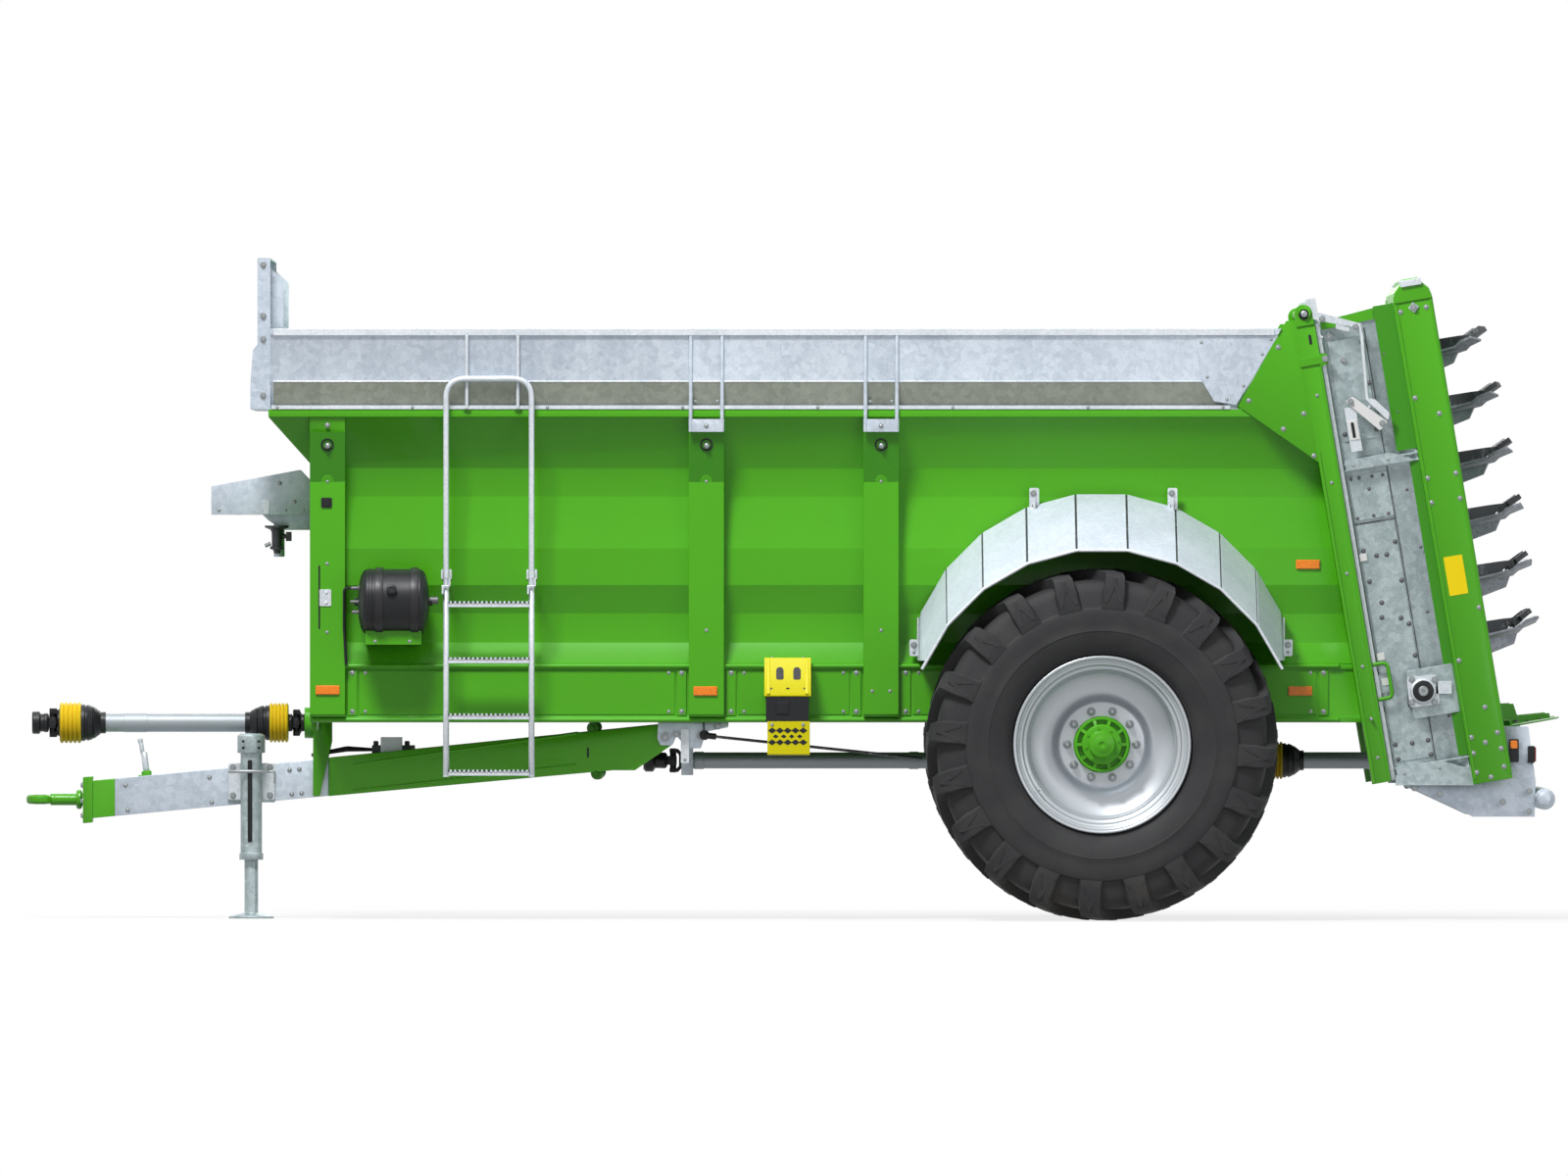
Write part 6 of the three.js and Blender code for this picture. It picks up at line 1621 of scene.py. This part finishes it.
def upper_arm():
    """A thick upright arm with a separate tip block that is tilted up."""
    form = Form()
    arm = [(0.06, -0.045), (0.24, -0.05), (0.275, -0.02), (0.335, -0.012), (0.335, 0.01), (0.262, 0.014),
           (0.06, 0.016)]
    form.add(profile(arm, 0.014))
    tip = Matrix.Translation((0.329, 0, 0.0)) @ Matrix.Rotation(-0.44, 4, "Y")
    form.add(block((0.0, -0.035, -0.013), (0.076, 0.035, 0.013)), tip)
    form.add(block((-0.045, -0.012, -0.02), (0.01, 0.012, 0.011)), tip)
    return form


def lower_arm():
    """A bent throwing plate that a tapering gusset holds from below."""
    form = Form()
    route = [(0.06, -0.006), (0.3, 0.01), (0.33, 0.03), (0.404, 0.048), (0.4, 0.06), (0.325, 0.046),
             (0.29, 0.022), (0.06, 0.006)]
    form.add(profile(route, 0.08))
    form.add(profile([(0.06, -0.01), (0.28, -0.002), (0.25, -0.055), (0.06, -0.095)], 0.01))
    return form


def beater_form(side):
    """Tube, disc, throwing blades and six rows of paddles, about the beater's own axis."""
    steel, worn, heads, disc = forms(4)
    steel.add(revolved([(0, DISC_T + 0.002), (0.075, DISC_T + 0.002), (0.075, 2.96), (0.088, 2.962),
                        (0.088, 2.976), (0.06, 2.98), (0.06, BEATER_TOP), (0, BEATER_TOP)], 36))
    disc.add(revolved([(0, DISC_T), (0.402, DISC_T), (0.408, DISC_T + 0.003), (0.408, DISC_T + 0.007),
                       (0.402, DISC_T + 0.01), (0, DISC_T + 0.01)], 72))
    steel.add(revolved([(0, DISC_T + 0.008), (0.135, DISC_T + 0.008), (0.13, DISC_T + 0.022),
                        (0, DISC_T + 0.022)], 36))
    for i in range(8):
        turn = Matrix.Rotation(i * math.pi / 4, 4, "Z")
        heads.add(HEX_BOLT, turn @ Matrix.Translation((0.108, 0, DISC_T + 0.022)))
    for i in range(4):
        turn = Matrix.Rotation((i + 0.25) * math.pi / 2, 4, "Z")
        blade = [(0.118, 0.009), (0.394, 0.009), (0.394, 0.034), (0.215, 0.046), (0.204, 0.112),
                 (0.118, 0.122)]
        disc.add(profile(blade, 0.01), turn @ Matrix.Translation((0, 0, DISC_T)))
        disc.add(plate(rectangle(0.09, 0.06, 0.006, (0.161, side * 0.034)), 0.008, DISC_T + 0.008), turn)
        for r in (0.135, 0.186):
            heads.add(HEX_BOLT, turn @ Matrix.Translation((r, side * 0.04, DISC_T + 0.016)))
        for r in (0.26, 0.33):
            heads.add(dome_bolt(0.01, 0.005), turn @ Matrix.Translation((r, side * 0.03, DISC_T + 0.01)))
    for level in range(ROWS):
        t = FIRST_ROW + ROW_PITCH * level
        twist = (level - (ROWS - 1) / 2) * ROW_TWIST
        for half in (0.0, math.pi):
            turn = Matrix.Rotation(half + side * twist, 4, "Z")
            upper = turn @ Matrix.Translation((0, 0, t + 0.018))
            worn.add(upper_arm(), upper @ Matrix.Rotation(side * 0.12, 4, "X"))
            lower = turn @ Matrix.Rotation(side * 0.24, 4, "Z") @ Matrix.Translation((0, 0, t - 0.048))
            steel.add(lower_arm(), lower @ Matrix.Rotation(side * 0.3, 4, "X"))
            side_turn = Matrix.Rotation(half + math.pi / 2 + side * twist, 4, "Z")
            steel.add(plate(oblong(0.06, -0.005, 0.185, 0.005), 0.06, t - 0.03), side_turn)
        steel.add(revolved([(0.075, t - 0.1), (0.09, t - 0.07), (0.09, t + 0.05), (0.075, t + 0.08)], 24))
    return steel, worn, heads, disc


def beaters():
    for side_name, side in SIDES.items():
        place = LEANED @ Matrix.Translation((BEATER_SETBACK, side * BEATER_Y, 0))
        body = "beater_rotor_" + side_name
        steel, worn, heads, disc = [Form().add(form, place) for form in beater_form(side)]
        node = "beater_" + side_name
        steel.piece(node + "_tube", "worn_zinc", body=body, bevel=0.0012, stands_for=[node])
        worn.piece(node + "_blades", "dark", body=body, bevel=0.0012)
        disc.piece(node + "_disc", "green", body=body, slot="dark_steel", bevel=0.0012)
        heads.piece(node + "_bolts", "chain_steel", body=body)


beaters()


# ---- Steelwork carried over from the CAD ------------------------------------------------------------
def both(name):
    return [name + "_left", name + "_right"]


SHEET_EDGE = 0.0018  # width of the rounded edges on sheet steel
FOLDED = 6  # degrees from which a fold in a sheet is rounded
STEELWORK = [  # finish, edge, crease, nodes
    ("green", 0.0025, 32, [
        "axle_beam", *both("chassis_rail"), "cross_member_middle", "cross_member_axle", "tub_floor",
        *both("side_post_front"), *both("side_post_middle"), *both("side_post_rear"), *both("rear_post"),
        "rear_gate", "gate_beam", *both("rear_channel"), "beater_top_beam", "gear_beam", "drawbar_head",
        "drawbar_guide"]),
    ("zinc", SHEET_EDGE, 32, [*both("gate_guide"), "drawbar_box", "pivot_frame"]),
    ("green", 0.003, FOLDED, [*both("tub_side"), "tub_front"]),
    ("zinc", SHEET_EDGE, FOLDED, [*both("side_board"), "rear_skirt", "hose_tray"]),
    ("zinc", 0.0, FOLDED, ["headboard"]),
    # The housing walls and the jack take the darker, green-tinted zinc: painted shade and a painted reflection
    # of the green body.
    ("painted_shade_wall_zinc", SHEET_EDGE, 32, [*both("housing_wall"), "jack_tube", "jack_leg"]),
    # The fork in the lit copy of the green: painted light against the shade under the body.
    ("painted_light_green", 0.0025, 32, ["drawbar_fork"]),
    ("chain_steel", 0.0025, 32, ["floor_chain", "floor_shaft_rear", "floor_shaft_front"]),
]
for finish, edge, crease, nodes in STEELWORK:
    for node in nodes:
        carried_over(node, finish, edge, crease)


# ---- Floor, lamps and camera ------------------------------------------------------------------------
def seen_directly(tree):
    """1 where the camera, a reflection or a view through glass looks, 0 for light that falls on things."""
    path = tree.nodes.new("ShaderNodeLightPath")
    seen = path.outputs["Is Camera Ray"]
    for kind in ("Is Glossy Ray", "Is Transmission Ray"):
        either = tree.nodes.new("ShaderNodeMath")
        either.operation = "MAXIMUM"
        tree.links.new(seen, either.inputs[0])
        tree.links.new(path.outputs[kind], either.inputs[1])
        seen = either.outputs[0]
    return seen


def blend(tree, mix, factor, first, second):
    """Feeds a mix of two shaders."""
    for socket, source in zip(mix.inputs, (factor, first.outputs[0], second.outputs[0])):
        tree.links.new(source, socket)


def pale_world():
    world = bpy.data.worlds.new("studio")
    world.use_nodes = True
    bpy.context.scene.world = world
    tree = world.node_tree
    soft = tree.nodes["Background"]
    soft.inputs["Color"].default_value = (0.95, 0.97, 1.0, 1.0)
    soft.inputs["Strength"].default_value = 0.29
    white = tree.nodes.new("ShaderNodeBackground")
    mix = tree.nodes.new("ShaderNodeMixShader")
    white.inputs["Color"].default_value = (1, 1, 1, 1)
    blend(tree, mix, seen_directly(tree), soft, white)
    tree.links.new(mix.outputs[0], tree.nodes["World Output"].inputs["Surface"])


def pale_floor():
    """White to look at, with soft shadows, but greyer in the light that it sends back up."""
    material = bpy.data.materials.new("pale_floor")
    material.use_nodes = True
    tree = material.node_tree
    shader = tree.nodes["Principled BSDF"]
    shader.inputs["Base Color"].default_value = (0.72, 0.72, 0.72, 1)
    shader.inputs["Roughness"].default_value = 1.0
    shader.inputs["Specular IOR Level"].default_value = 0.0
    glow = tree.nodes.new("ShaderNodeEmission")
    half_white = tree.nodes.new("ShaderNodeMixShader")
    place = tree.nodes.new("ShaderNodeTexCoord")
    reach = tree.nodes.new("ShaderNodeVectorMath")
    reach.operation = "LENGTH"
    fade = tree.nodes.new("ShaderNodeMapRange")
    for socket, value in {"From Min": 3.4, "From Max": 6.5, "To Min": 0.8, "To Max": 1.0}.items():
        fade.inputs[socket].default_value = value
    tree.links.new(place.outputs["Object"], reach.inputs[0])
    tree.links.new(reach.outputs["Value"], fade.inputs["Value"])
    dull = tree.nodes.new("ShaderNodeBsdfDiffuse")
    dull.inputs["Color"].default_value = (0.2, 0.2, 0.2, 1)
    mix = tree.nodes.new("ShaderNodeMixShader")
    blend(tree, half_white, fade.outputs[0], shader, glow)
    blend(tree, mix, seen_directly(tree), dull, half_white)
    tree.links.new(mix.outputs[0], tree.nodes["Material Output"].inputs["Surface"])
    floor = bpy.data.meshes.new("floor")
    edge = 400.0
    floor.from_pydata([(x, y, 0) for x, y in rectangle(2 * edge, 2 * edge)], [], [[0, 1, 2, 3]])
    floor.materials.append(material)
    piece = bpy.data.objects.new("floor", floor)
    bpy.context.scene.collection.objects.link(piece)


def soft_lamp(name, place, aim, size, power, colour=(1, 1, 1)):
    lamp = bpy.data.lights.new(name, "AREA")
    lamp.shape = "RECTANGLE"
    lamp.size, lamp.size_y = size
    lamp.energy = power
    lamp.color = colour
    holder = bpy.data.objects.new(name, lamp)
    holder.location = place
    holder.rotation_mode = "QUATERNION"
    holder.rotation_quaternion = (Vector(aim) - Vector(place)).to_track_quat("-Z", "Y")
    bpy.context.scene.collection.objects.link(holder)


def lamps():
    soft_lamp("key", (-4.0, -8.0, 13.5), (0, 0, 1.4), (3.6, 2.6), 2400)
    soft_lamp("fill", (8.5, -10.0, 3.5), (0.5, 0, 1.4), (6.0, 4.0), 150, (0.96, 0.98, 1.0))
    soft_lamp("top", (0.0, 1.0, 10.0), (0, 0, 0), (9.0, 6.0), 420)
    soft_lamp("back", (0.0, 11.0, 7.0), (0, 0, 1.4), (9.0, 5.0), 450)


def camera():
    """Level, at the height of the tub's middle, from far off to the machine's left."""
    lens = bpy.data.cameras.new("side view")
    distance, view_width, eye_height = 150.0, 8.0, 1.69
    lens.sensor_width = 36.0
    lens.lens = lens.sensor_width * distance / view_width
    lens.clip_end = 2000.0
    holder = bpy.data.objects.new("side view", lens)
    holder.location = (-0.04, -distance - 0.6, eye_height)
    holder.rotation_euler = (math.radians(90), 0, 0)
    bpy.context.scene.collection.objects.link(holder)
    bpy.context.scene.camera = holder


pale_world()
pale_floor()
lamps()
camera()
bpy.context.scene.view_settings.view_transform = "Standard"
